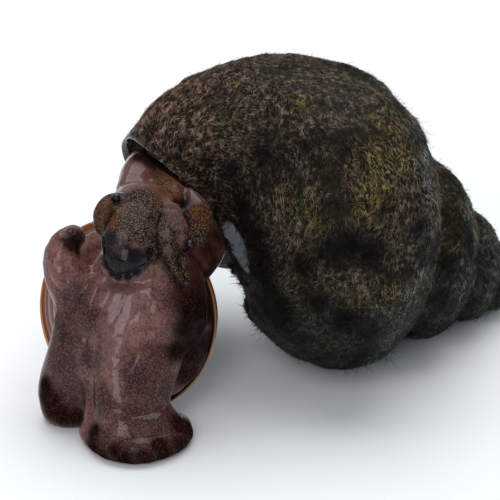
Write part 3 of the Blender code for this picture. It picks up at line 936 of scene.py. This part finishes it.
def algae_group(settings):
    """The markings of the growth, with painted shade and a painted sheen among them, the same on
    the shell's skin and on the tufts.
    """
    group = bpy.data.node_groups.new("Algae tint", "ShaderNodeTree")
    sockets = [("Place", "INPUT", "NodeSocketVector"), ("Color", "OUTPUT", "NodeSocketColor")]
    sockets += [(name.capitalize(), "INPUT", "NodeSocketFloat") for name in MARKINGS]
    for name, way, kind in sockets:
        group.interface.new_socket(name=name, in_out=way, socket_type=kind)
    nodes = Nodes(group)
    start = nodes.add("NodeGroupInput")
    place = start.outputs["Place"]
    mark = {name: start.outputs[name.capitalize()] for name in MARKINGS}
    broad = nodes.noise(place, 3.2 * MM, 4.0, 0.6, 0.4)
    small = nodes.noise(place, 0.9 * MM, 3.0, 0.6, 0.3)
    tiny = nodes.noise(place, 0.35 * MM, 2.0, 0.5)
    brown = nodes.mix(nodes.ramp(small, 0.38, 0.62), shade(settings.brown, 0.35), settings.brown)
    russet = nodes.mix(nodes.ramp(small, 0.36, 0.60), RUSSET_DARK, RUSSET)
    brown = nodes.mix(mark["young"], brown, russet)
    height = nodes.add("ShaderNodeSeparateXYZ", Vector=place).outputs["Z"]
    low = nodes.ramp(nodes.plus(height, nodes.times(broad, 6 * MM)), 18 * MM, 10 * MM)
    olive = nodes.times(nodes.plus(mark["olive"], 0.12), nodes.ramp(broad, 0.34, 0.52),
                        nodes.ramp(tiny, 0.3, 0.6))
    green = nodes.times(nodes.plus(mark["green"], 0.12), nodes.ramp(small, 0.46, 0.58))
    # Pale growth on the shoulder and the white spots, partly a painted sheen where the coat is seen
    # edge-on
    pale = nodes.times(nodes.math("MAXIMUM", mark["shoulder"], mark["white"]),
                       nodes.ramp(small, 0.3, 0.62))
    colour = brown
    for share, growth in ((low, settings.teal), (olive, settings.olive), (green, settings.green),
                          (pale, settings.pale)):
        colour = nodes.mix(share, colour, growth)
    # Random darker patches, painted shade from the dim markings, and painted shade that darkens the
    # growth towards the floor; light is the level that they leave
    wild = nodes.ramp(nodes.noise(place, 4.5 * MM, 4.0, 0.65), 0.48, 0.62)
    calm = nodes.plus(nodes.times(mark["young"], -0.55), 0.80)
    dim = nodes.math("MAXIMUM", mark["dim"], nodes.times(wild, calm))
    painted_dusk = nodes.plus(nodes.times(nodes.ramp(height, 4 * MM, 15 * MM), 0.5), 0.5)
    light = nodes.times(nodes.rest(nodes.times(dim, 0.985)), painted_dusk)
    nodes.add("NodeGroupOutput", Color=nodes.lit(colour, light))
    return group


def growth_colour(nodes, settings, place):
    """The growth's colour at a place, with the markings that the mesh carries."""
    group = bpy.data.node_groups.get("Algae tint") or algae_group(settings)
    marks = {name.capitalize(): nodes.attribute(name) for name in MARKINGS}
    return nodes.add("ShaderNodeGroup", {"node_tree": group}, Place=place, **marks).outputs[0]


def algae_material(settings):
    material, nodes, shader = new_material("Algae", Roughness=0.55, Specular_IOR_Level=0.06)
    own = nodes.attribute("tone")
    bright = nodes.plus(nodes.times(nodes.math("POWER", own, 2.2), 2.1), 0.30)
    tip = nodes.plus(nodes.times(nodes.attribute("tip"), 0.6), 0.6)
    colour = nodes.lit(growth_colour(nodes, settings, nodes.place()), nodes.times(bright, tip))
    hue = nodes.math("FRACT", nodes.times(own, 9.7))
    for low, high, share, cast in CASTS:
        colour = nodes.mix(nodes.times(nodes.ramp(hue, low, high), share), colour, cast, "MULTIPLY")
    nodes.link(shader, "Base Color", colour)
    return material


# The flesh

FLESH_NODES = ("mantle", "neck", "head", "tentacle_left", "tentacle_right", "nuchal_lobe_left",
               "nuchal_lobe_right", "foot_front", "foot_rear")


def photo_ray(x, y):
    """Where the photograph's camera stands, and the way that it sees a pixel."""
    up = Vector((0.0, math.sin(CAMERA_TILT), math.cos(CAMERA_TILT)))
    ahead = Vector((0.0, math.cos(CAMERA_TILT), -math.sin(CAMERA_TILT)))
    way = ahead * FOCAL_PIXELS + Vector((x - MIDDLE_X, 0, 0)) - up * (y - MIDDLE_Y)
    return CAMERA_PLACE, way.normalized()


def fuse_flesh(voxel):
    """One skin round all the solids of the flesh, with the gaps between them closed."""
    deselect_all()
    parts = []
    for name in FLESH_NODES:
        part = bpy.data.objects.new(f"{name}_copy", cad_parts[name].data.copy())
        bpy.context.scene.collection.objects.link(part)
        part.select_set(True)
        parts.append(part)
    bpy.context.view_layer.objects.active = parts[0]
    bpy.ops.object.join()
    flesh = name_piece(bpy.context.object, "flesh_skin")
    flesh.data.materials.clear()
    with edit_mode():
        bpy.ops.mesh.remove_doubles(threshold=0.002 * MM)
    for grow in (0.34 * MM, -0.24 * MM):
        swell = flesh.modifiers.new("Swell", "DISPLACE")
        swell.strength, swell.mid_level = grow, 0.0
        grid = flesh.modifiers.new("Grid", "REMESH")
        grid.mode, grid.voxel_size = "VOXEL", voxel
        grid.use_smooth_shade = True
    soft = flesh.modifiers.new("Soft", "SMOOTH")
    soft.factor, soft.iterations = 0.5, 8
    apply_all(flesh)
    return flesh


class Sculpt:
    """Presses creases into a skin and marks spots on it, placed by the photograph's pixels."""

    def __init__(self, obj):
        self.points, self.normals = coords_of(obj), normals_of(obj)
        self.tree = BVHTree.FromObject(obj, bpy.context.evaluated_depsgraph_get())
        towards = unit_rows(np.array(CAMERA_PLACE) - self.points)
        self.facing = smooth_step(-0.35, 0.1, (towards * self.normals).sum(1))

    def under(self, pixels):
        """The places of the skin that the pixels show."""
        found = [self.tree.ray_cast(*photo_ray(x, y))[0] for x, y in pixels]
        return np.array([p for p in found if p is not None])

    def near_path(self, pixels, width):
        """1 along a line drawn through the pixels, falling off over a width."""
        line = self.under(pixels)
        gap = np.full(len(self.points), 1.0)
        for a, b in zip(line, line[1:]):
            run = b - a
            share = np.clip((self.points - a) @ run / max(run @ run, 1e-12), 0, 1)
            gap = np.minimum(gap, np.linalg.norm(self.points - a - share[:, None] * run, axis=1))
        return np.exp(-(gap / width) ** 2) * self.facing

    def near_spots(self, spots):
        """1 on the spots, each a pixel and a radius in millimetres."""
        total = np.zeros(len(self.points))
        for x, y, radius in spots:
            place = self.under([(x, y)])
            if len(place):
                gap = np.linalg.norm(self.points - place[0], axis=1)
                total = np.maximum(total, np.exp(-(gap / (radius * MM)) ** 2.4))
        return total * (0.25 + 0.75 * self.facing)

    def push(self, height):
        self.points += self.normals * height[:, None]


# Creases drawn through pixels of the photograph: points, half-width and depth in millimetres
CREASES = (
    (((176, 168), (184, 182), (185, 195), (184, 207), (189, 223), (193, 237)), 0.32, 0.5),
    (((177, 203), (184, 212), (188, 222), (191, 234)), 0.28, 0.35),
    (((117, 200), (112, 213), (104, 228)), 0.20, 0.3),
    (((162, 214), (159, 228), (158, 241), (160, 256), (165, 268), (173, 279), (182, 286)),
     0.22, 0.4),
    (((190, 249), (184, 251), (178, 259), (180, 267), (186, 279)), 0.20, 0.3),
    (((173, 228), (171, 240), (173, 256)), 0.22, 0.12),
    (((100, 258), (105, 268), (115, 275), (127, 275), (140, 269), (152, 259)), 0.18, 0.35),
    (((103, 272), (112, 281), (124, 284), (138, 280), (150, 270)), 0.60, 0.50),
    (((86, 338), (87, 350), (88, 366), (88, 380), (88, 400), (89, 424)), 1.1, 0.55),
    (((51, 281), (61, 290), (72, 296)), 0.4, 0.2),
    (((185, 315), (180, 335), (175, 358), (171, 390)), 0.45, 0.3),
    (((70, 232), (76, 238), (82, 246)), 0.6, 0.45),
    (((104, 306), (112, 292), (120, 284)), 0.14, 0.06),
    (((119, 312), (124, 298), (128, 290)), 0.12, 0.06),
    (((90, 318), (93, 302), (98, 288)), 0.20, 0.10),
    (((71, 330), (73, 345), (72, 362)), 0.16, 0.07),
    (((128, 372), (134, 362), (138, 352)), 0.14, 0.06),
)
RIDGES = (
    (((118, 335), (116, 360), (114, 395), (118, 430)), 1.6, 0.2),
    (((96, 335), (93, 370), (93, 410)), 0.45, 0.15),
    (((60, 310), (62, 345), (60, 385)), 1.3, 0.15),
    (((52, 262), (56, 280), (60, 300), (57, 320)), 0.5, 0.2),
    (((167, 232), (167, 246), (172, 262), (178, 276)), 0.28, 0.2),
    (((165, 214), (172, 212), (180, 218)), 0.5, 0.25),
    (((107, 205), (104, 215), (103, 223)), 0.5, 0.2),
)
# Markings of the flesh: a pixel of the photograph and a radius in millimetres each
FLESH_SPOTS = {
    "snout": ((108, 238, 1.0), (106, 250, 1.0), (110, 262, 1.0), (119, 266, 1.2), (130, 266, 1.2),
              (141, 261, 1.1), (149, 254, 0.8), (124, 256, 1.4), (115, 246, 1.2), (136, 256, 1.0),
              (112, 272, 0.6), (119, 276, 0.6), (128, 276, 0.6), (137, 272, 0.6), (105, 265, 0.7)),
    # Dark margins of the foot, and painted shade under the lip, in a hollow, in a groove and on the
    # flank in the shell's shadow
    "dark_margin_and_painted_shade": ((142, 156, 1.0), (158, 160, 1.0), (172, 168, 0.9), (150, 163, 0.8), (48, 400, 1.5),
             (52, 410, 1.5), (62, 416, 1.4), (76, 417, 1.2), (92, 448, 1.3), (105, 458, 1.3),
             (125, 461, 1.3), (145, 461, 1.3), (165, 457, 1.3), (182, 447, 1.5), (190, 432, 1.5),
             (180, 425, 1.2), (74, 240, 1.3), (80, 247, 0.9), (192, 345, 2.2), (198, 312, 1.8),
             (188, 372, 1.8), (180, 350, 1.4), (200, 330, 1.6), (176, 395, 1.2), (186, 180, 0.8),
             (186, 200, 0.8), (190, 225, 0.9), (92, 430, 1.0), (160, 446, 1.0), (115, 452, 0.9),
             (45, 385, 1.0), (178, 152, 1.3), (150, 150, 1.4), (128, 157, 1.0), (138, 150, 1.2),
             (165, 160, 1.2), (185, 172, 1.0), (203, 192, 0.8), (212, 205, 0.8), (222, 220, 0.9),
             (228, 232, 0.9), (205, 345, 1.8), (211, 352, 1.6), (208, 366, 1.5), (200, 380, 1.4),
             (190, 393, 1.3), (213, 330, 1.6), (208, 310, 1.6), (180, 402, 1.2), (193, 355, 2.0),
             (187, 330, 1.6), (190, 385, 1.6)),
    "rust": ((52, 405, 1.5), (64, 414, 1.5), (78, 416, 1.3), (92, 448, 1.4), (105, 457, 1.5),
             (125, 460, 1.5), (145, 460, 1.5), (165, 456, 1.5), (182, 446, 1.7), (188, 432, 1.6),
             (195, 365, 1.6), (190, 380, 1.4), (160, 446, 1.2)),
    # Painted shade on the sides and the lower part of the foot
    "painted_dusk": ((62, 330, 2.6), (60, 360, 2.6), (62, 392, 2.8), (78, 392, 2.2), (88, 360, 1.6),
             (75, 300, 1.8), (88, 320, 1.6), (140, 380, 2.6), (160, 390, 2.4), (160, 360, 2.0),
             (165, 420, 2.4), (135, 415, 2.0), (100, 400, 1.8), (180, 300, 1.8), (186, 280, 1.8),
             (48, 240, 1.0), (52, 226, 0.9), (100, 440, 1.6), (130, 445, 1.8), (160, 440, 2.0)),
    "gold": ((104, 208, 1.1), (103, 218, 0.9), (118, 214, 0.8), (112, 226, 0.7), (184, 240, 0.5),
             (200, 212, 1.0), (206, 220, 0.9), (165, 178, 1.4), (172, 190, 1.2), (160, 190, 1.0),
             (181, 278, 0.5), (196, 208, 0.8)),
    "grain": ((130, 205, 2.2), (145, 200, 2.0), (150, 212, 2.0), (135, 220, 2.2), (148, 232, 1.8),
              (172, 232, 1.6), (176, 248, 1.4), (176, 262, 1.2), (182, 277, 0.9), (104, 210, 1.3),
              (104, 226, 1.3), (103, 240, 1.0), (196, 220, 1.4), (203, 214, 1.2), (166, 188, 1.3),
              (118, 235, 1.6), (155, 250, 1.4), (150, 258, 1.2), (162, 215, 1.5), (118, 262, 1.0),
              (196, 234, 1.0), (190, 240, 1.0), (120, 200, 1.4)),
    # Painted highlights of the wet skin
    "gleam": ((122, 290, 1.5), (124, 305, 1.6), (122, 320, 1.6), (118, 336, 1.5), (112, 350, 1.3),
              (136, 282, 1.3), (140, 296, 1.1), (108, 300, 1.0), (104, 325, 0.9), (112, 366, 1.2),
              (116, 384, 1.0), (132, 340, 0.9), (140, 318, 0.8), (110, 282, 0.9), (121, 238, 0.8),
              (119, 248, 0.8), (170, 216, 1.0), (178, 224, 0.9), (166, 236, 0.7), (168, 250, 0.6),
              (180, 240, 0.7)),
    # The pinkish lobe, with a painted sheen on it and on the neck
    "pink_and_painted_sheen": ((188, 180, 0.8), (193, 188, 1.0), (198, 197, 1.0), (203, 204, 0.7), (133, 176, 1.6),
             (122, 182, 1.2), (136, 188, 0.9)),
    "orange": ((196, 262, 2.4), (207, 250, 2.2), (216, 236, 2.0), (198, 285, 2.2), (172, 160, 2.2),
               (160, 165, 1.8), (190, 300, 1.6), (224, 225, 1.6), (208, 232, 1.6), (186, 268, 1.4),
               (145, 158, 1.6), (204, 275, 1.8), (212, 262, 1.4), (182, 292, 1.0), (212, 215, 1.2),
               (178, 200, 0.7), (160, 175, 1.2)),
}
SAG = (1.0, 1.0, 0.42)         # stretches the folds downwards, the way that they hang
# The painted shade of the sides, and the deep brown of the margins and of painted shade
PAINTED_DUSK_TONE, DEEP_BROWN_AND_SHADE = (0.028, 0.014, 0.015), (0.0045, 0.002, 0.002)
# The painted highlight's colour, and rust
PAINTED_HIGHLIGHT_TONE, RUST = (0.30, 0.180, 0.185), (0.13, 0.046, 0.026)


class SNAIL_OT_flesh(Operator):
    """Fuses the flesh into one skin, folds and wrinkles it, and gives it its wet speckled look,
    with painted shade and painted highlights
    """
    bl_idname = "snail.flesh"
    bl_label = "Flesh"

    def execute(self, context):
        settings = context.scene.snail_flesh
        flesh = fuse_flesh(settings.voxel * (1.0))
        sculpt = Sculpt(flesh)
        zones = {name: sculpt.near_spots(spots) for name, spots in FLESH_SPOTS.items()}
        zones["painted_crease_shade"] = np.zeros(len(sculpt.points))
        for pixels, width, depth in CREASES:
            near = sculpt.near_path(pixels, width * MM)
            # Narrow creases are also darkened: painted shade
            if width < 0.4:
                zones["painted_crease_shade"] = np.maximum(zones["painted_crease_shade"], near * min(1.0, depth / 0.3))
            sculpt.push(-near * depth * MM)
        for pixels, width, height in RIDGES:
            sculpt.push(sculpt.near_path(pixels, width * MM) * height * MM)
        hang = sculpt.points * SAG
        smooth = 1 - 0.7 * np.maximum(zones["snout"], zones["pink_and_painted_sheen"])
        lumps = waves(sculpt.points, 4.5 * MM, 21, 14) * 0.05 * MM
        lumps += waves(hang, 1.6 * MM, 22, 18) * 0.014 * MM
        lumps += np.abs(waves(hang, 0.8 * MM, 23, 18)) * 0.010 * MM
        lumps += waves(sculpt.points, 0.6 * MM, 24, 18) * 0.003 * MM
        sculpt.push(lumps * smooth)
        sculpt.points[:, 2] = np.maximum(sculpt.points[:, 2], 0.0)
        move_to(flesh, sculpt.points)
        for name, values in zones.items():
            store_value(flesh, name, values)
        activate(flesh)
        bpy.ops.object.shade_smooth()
        dress(flesh, flesh_material(settings))
        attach(flesh, BODY)
        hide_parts(*FLESH_NODES)
        return {"FINISHED"}


def flesh_material(settings):
    material, nodes, shader = new_material("Wet flesh", Roughness=0.50, Specular_IOR_Level=0.0,
                                           Coat_Roughness=0.05, Coat_IOR=1.36,
                                           Subsurface_Weight=0.08, Subsurface_Scale=0.4 * MM)
    mix, ramp, times, plus, rest = nodes.mix, nodes.ramp, nodes.times, nodes.plus, nodes.rest
    place = nodes.place()
    hang = nodes.add("ShaderNodeMapping", Vector=place, Scale=(1.0, 1.0, 0.38)).outputs["Vector"]
    broad = nodes.noise(place, 3.0 * MM, 3.0, 0.55)
    streaks = nodes.noise(hang, 0.9 * MM, 4.0, 0.62, 0.6)
    small = nodes.noise(place, 0.36 * MM, 3.0, 0.65)
    fine = nodes.noise(place, 0.17 * MM, 2.0, 0.6)
    grains = nodes.add("ShaderNodeTexVoronoi", Vector=place, Scale=1 / (0.11 * MM))
    speck = ramp(grains.outputs["Distance"], 0.62, 0.36)
    pick = nodes.add("ShaderNodeSeparateColor", Color=grains.outputs["Color"]).outputs["Red"]
    zone = {name: nodes.attribute(name) for name in (*FLESH_SPOTS, "painted_crease_shade")}

    # The skin with its streaks, painted shade on its sides, and the orange flank, the dark margins
    # with painted shade and the pink lobes with a painted sheen on it
    skin = mix(ramp(broad, 0.40, 0.60), shade(settings.skin, 0.70), settings.skin)
    skin = mix(times(ramp(streaks, 0.45, 0.62), 0.7), skin, shade(settings.skin, 0.40))
    skin = mix(times(ramp(zone["painted_dusk"], 0.0, 0.9), 0.80), skin, PAINTED_DUSK_TONE)
    flank = mix(ramp(streaks, 0.42, 0.60), shade(settings.orange, 1.6),
                shade(settings.orange, 0.35))
    skin = mix(times(zone["orange"], 0.96), skin, flank)
    skin = mix(times(ramp(zone["dark_margin_and_painted_shade"], 0.0, 0.7), 0.96), skin, DEEP_BROWN_AND_SHADE)
    skin = mix(zone["pink_and_painted_sheen"], skin, settings.pink_and_painted_sheen)

    # Dark freckles and pale mottling
    freckle = ramp(plus(times(small, 0.6), times(fine, 0.4)), 0.49, 0.56)
    freckle = times(freckle, plus(times(zone["painted_dusk"], 0.35), 0.45), rest(zone["pink_and_painted_sheen"]))
    skin = mix(freckle, skin, shade(settings.skin, 0.12))
    mottling = times(ramp(fine, 0.46, 0.38), 0.35, rest(plus(zone["dark_margin_and_painted_shade"], zone["orange"])))
    skin = mix(mottling, skin, shade(settings.skin, 1.25))

    # The dark ground of the grainy parts, a painted highlight in torn patches, and the grit
    grainy = ramp(zone["grain"], 0.08, 0.55)
    ground = mix(times(zone["gold"], 0.85), skin, shade(settings.gold, 0.17))
    ground = mix(times(grainy, rest(times(zone["gold"], 0.6))), ground, settings.ground)
    painted_highlight = ramp(plus(zone["gleam"], times(plus(streaks, -0.5), 1.6)), 0.30, 0.80)
    ground = mix(times(painted_highlight, 0.22), ground, PAINTED_HIGHLIGHT_TONE)
    amount = nodes.math("MAXIMUM", grainy, times(zone["gold"], 0.7))
    grit = times(amount, speck, ramp(pick, 0.10, 1.0), 0.85)
    colour = mix(grit, ground, mix(ramp(zone["gold"], 0.1, 0.8), settings.sand, settings.gold))
    rusty = nodes.math("MAXIMUM", zone["rust"], times(zone["painted_dusk"], 0.3))
    rust = times(rusty, speck, ramp(pick, 0.70, 0.90), rest(amount))
    colour = mix(times(rust, 0.7), colour, RUST)

    # The black snout with a painted highlight on it, and painted shade in the creases
    snout = ramp(zone["snout"], 0.05, 0.85)
    colour = mix(plus(snout, times(grit, -0.3)), colour, settings.black)
    colour = mix(times(painted_highlight, 0.10, snout), colour, PAINTED_HIGHLIGHT_TONE)
    colour = mix(times(zone["painted_crease_shade"], 0.85), colour, settings.black)
    nodes.link(shader, "Base Color", colour)

    # The wet coat, which the matt parts lack, and the relief
    matt = plus(times(zone["orange"], 0.97), times(zone["dark_margin_and_painted_shade"], 0.92), times(zone["painted_dusk"], 0.45),
                times(grainy, rest(snout), 0.8), times(snout, 0.35))
    nodes.link(shader, "Coat Weight", rest(matt))
    beads = times(speck, nodes.math("ADD", amount, zone["dark_margin_and_painted_shade"], clamp=True))
    height = plus(times(streaks, 0.7), times(small, 0.4), times(beads, 0.5))
    nodes.link(shader, "Normal", nodes.bump(height, 0.6, 0.08 * MM))
    return material


# The eyes

# The two blacks of the eye's faint clouds
EYE_TONES = ((0.004, 0.004, 0.006), (0.012, 0.010, 0.014))


class SNAIL_OT_eyes(Operator):
    """Sets a small glossy black eye into the base of each tentacle"""
    bl_idname = "snail.eyes"
    bl_label = "Eyes"

    def execute(self, context):
        material, nodes, shader = new_material("Eye", Roughness=0.12, Specular_IOR_Level=0.25,
                                               Coat_Weight=0.3, Coat_Roughness=0.04)
        cloud = nodes.noise(nodes.place(), 0.2 * MM, 2.0)
        nodes.link(shader, "Base Color", nodes.mix(cloud, *EYE_TONES))
        for name in ("eye_left", "eye_right"):
            low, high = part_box(name)
            deselect_all()
            bpy.ops.mesh.primitive_uv_sphere_add(segments=32, ring_count=20,
                                                 radius=(high.x - low.x) / 2,
                                                 location=(low + high) / 2)
            eye = name_piece(context.object, f"{name}_ball")
            bpy.ops.object.transform_apply(location=True, rotation=True, scale=True)
            bpy.ops.object.shade_smooth()
            dress(eye, material)
            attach(eye, BODY)
            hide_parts(name)
        return {"FINISHED"}


# The operculum

PLATE_CENTRE = Vector((-13.1, -5.1, 8.5)) * MM + CENTRING
PLATE_WIDE, PLATE_HIGH = 8.35 * MM, 9.3 * MM    # from the middle to the rim
PLATE_TURN = (Matrix.Rotation(math.radians(-10), 3, "Z")
              @ Matrix.Rotation(math.radians(-27), 3, "X")
              @ Matrix.Rotation(math.radians(-25), 3, "Y"))
INSETS_PER_RING = 4
PLATE_LINES, PLATE_STAIN = (0.07, 0.022, 0.012), (0.10, 0.035, 0.02)
PLATE_RIGHT_DARK = (0.012, 0.005, 0.003)


class SNAIL_OT_plate(Operator):
    """Makes the thin horny operculum with its rings of growth"""
    bl_idname = "snail.plate"
    bl_label = "Operculum"

    def execute(self, context):
        settings = context.scene.snail_plate
        deselect_all()
        bpy.ops.mesh.primitive_circle_add(vertices=96, radius=1.0, fill_type="NGON")
        plate = name_piece(context.object, "operculum_plate")
        insets = settings.rings * INSETS_PER_RING
        with edit_mode():
            for _ in range(insets):
                bpy.ops.mesh.inset(thickness=0.97 / insets)
            bpy.ops.mesh.poke()
        flat = coords_of(plate)
        out = np.linalg.norm(flat[:, :2], axis=1)
        around = np.arctan2(flat[:, 1], flat[:, 0])
        ring = out * settings.rings + 0.25 * np.sin(around * 3 + out * 5)
        ridge = 0.5 + 0.5 * np.sin(math.tau * ring)
        x = flat[:, 0] * PLATE_WIDE - (1 - out) * 0.16 * PLATE_WIDE
        z = flat[:, 1] * PLATE_HIGH
        y = 0.18 * MM - 0.42 * MM * (1 - out ** 2) + ridge * 0.07 * MM * smooth_step(0, 0.2, out)
        y -= 0.25 * MM * smooth_step(0.93, 1.0, out)
        placed = np.stack([x, y, z], 1) @ np.array(PLATE_TURN).T + np.array(PLATE_CENTRE)
        move_to(plate, placed)
        store_value(plate, "out", out)
        store_value(plate, "ridge", ridge)
        store_value(plate, "right", smooth_step(-0.1, 0.4, flat[:, 0] - 0.5 * flat[:, 1]))
        wall = plate.modifiers.new("Thickness", "SOLIDIFY")
        wall.thickness, wall.offset = settings.thick, -1.0
        apply_all(plate)
        with edit_mode():
            bpy.ops.mesh.normals_make_consistent(inside=False)
        bpy.ops.object.shade_smooth()
        dress(plate, plate_material(settings))
        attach(plate, BODY)
        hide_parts("operculum")
        return {"FINISHED"}


def plate_material(settings):
    material, nodes, shader = new_material("Horn", Roughness=0.34, Coat_Weight=0.5,
                                           Coat_Roughness=0.2, Subsurface_Weight=0.15,
                                           Subsurface_Scale=0.5 * MM)
    grain = nodes.noise(nodes.place(), 0.7 * MM, 4.0, 0.6)
    out = nodes.attribute("out")
    colour = nodes.mix(nodes.ramp(out, 0.93, 0.985), settings.middle, settings.rim)
    # Rings, random stains, and a darkening towards the right side inside the rim
    layers = ((nodes.ramp(nodes.attribute("ridge"), 0.45, 0.1), 0.55, PLATE_LINES),
              (grain, 0.4, PLATE_STAIN),
              (nodes.times(nodes.attribute("right"), nodes.ramp(out, 1.0, 0.975)), 0.93,
               PLATE_RIGHT_DARK))
    for amount, share, layer in layers:
        colour = nodes.mix(nodes.times(amount, share), colour, layer)
    nodes.link(shader, "Base Color", colour)
    nodes.link(shader, "Normal", nodes.bump(grain, 0.35, 0.06 * MM))
    return material


# The stage

# Softboxes: place, what they are aimed at, width and depth in metres, and colour
OVERHEAD_BOX = ((0.05, 0.46, 0.92), (0.0, 0.0, 0.0), 1.3, 0.9, (1.0, 1.0, 1.0))
FRONT_BOX = ((-0.18, -0.70, 0.57), (-0.01, -0.01, 0.01), 0.34, 0.80, (1.0, 0.92, 0.98))
WORLD_COLOUR = (0.80, 0.95, 1.0)


class SNAIL_OT_stage(Operator):
    """Lays a plain pale floor, hangs soft lights over it and sets up the camera"""
    bl_idname = "snail.stage"
    bl_label = "Stage"

    def execute(self, context):
        settings = context.scene.snail_stage
        deselect_all()
        bpy.ops.mesh.primitive_plane_add(size=3.0)
        floor = name_piece(context.object, "floor")
        material, nodes, shader = new_material("Floor paper", Roughness=0.6)
        cloud = nodes.noise(nodes.place(), 60 * MM, 2.0)
        tone = nodes.mix(cloud, settings.floor, shade(settings.floor, 0.98))
        nodes.link(shader, "Base Color", tone)
        dress(floor, material)
        self.light("overhead_softbox", settings.key, *OVERHEAD_BOX)
        self.light("front_softbox", settings.front, *FRONT_BOX)
        world = bpy.data.worlds.new("Studio")
        world.use_nodes = True
        light = world.node_tree.nodes["Background"]
        light.inputs["Color"].default_value = (*WORLD_COLOUR, 1)
        light.inputs["Strength"].default_value = settings.fill
        context.scene.world = world
        context.scene.view_settings.view_transform = "Standard"
        bpy.ops.object.camera_add(location=CAMERA_PLACE,
                                  rotation=(math.pi / 2 - CAMERA_TILT, 0.0, 0.0))
        camera = context.object
        camera.data.sensor_width = SENSOR_MM
        camera.data.lens = FOCAL_PIXELS * SENSOR_MM / PHOTO_SIDE
        camera.data.shift_x = (PHOTO_SIDE / 2 - MIDDLE_X) / PHOTO_SIDE
        camera.data.shift_y = (MIDDLE_Y - PHOTO_SIDE / 2) / PHOTO_SIDE
        camera.data.clip_start, camera.data.clip_end = 0.02, 10.0
        context.scene.camera = camera
        return {"FINISHED"}

    def light(self, name, power, place, aim, width, depth, colour):
        towards = (Vector(aim) - Vector(place)).to_track_quat("-Z", "Y").to_euler()
        bpy.ops.object.light_add(type="AREA", location=place, rotation=towards)
        lamp = bpy.context.object
        lamp.name = name
        lamp.data.shape = "RECTANGLE"
        lamp.data.size, lamp.data.size_y = width, depth
        lamp.data.energy = power
        lamp.data.color = colour


class SNAIL_PT_looks(Panel):
    """Lists the pieces and their settings"""
    bl_idname = "SNAIL_PT_looks"
    bl_label = "Trapdoor Snail"
    bl_space_type = "VIEW_3D"
    bl_region_type = "UI"
    bl_category = "Snail"

    def draw(self, context):
        for operator, group in PIECES:
            box = self.layout.box()
            box.operator(operator.bl_idname)
            if group:
                settings = getattr(context.scene, group)
                for name in settings.__annotations__:
                    box.prop(settings, name)


SETTINGS = {"snail_shell": ShellSettings, "snail_algae": AlgaeSettings,
            "snail_flesh": FleshSettings, "snail_plate": PlateSettings,
            "snail_stage": StageSettings}
PIECES = ((SNAIL_OT_shell, "snail_shell"), (SNAIL_OT_algae, "snail_algae"),
          (SNAIL_OT_flesh, "snail_flesh"), (SNAIL_OT_eyes, None),
          (SNAIL_OT_plate, "snail_plate"), (SNAIL_OT_stage, "snail_stage"))


def register():
    for group, kind in SETTINGS.items():
        bpy.utils.register_class(kind)
        setattr(bpy.types.Scene, group, PointerProperty(type=kind))
    for operator, _ in PIECES:
        bpy.utils.register_class(operator)
    bpy.utils.register_class(SNAIL_PT_looks)


def unregister():
    bpy.utils.unregister_class(SNAIL_PT_looks)
    for operator, _ in PIECES:
        bpy.utils.unregister_class(operator)
    for group, kind in SETTINGS.items():
        delattr(bpy.types.Scene, group)
        bpy.utils.unregister_class(kind)


def main():
    register()
    for operator, _ in PIECES:
        getattr(bpy.ops.snail, operator.bl_idname.split(".")[1])()


if __name__ == "__main__":
    main()
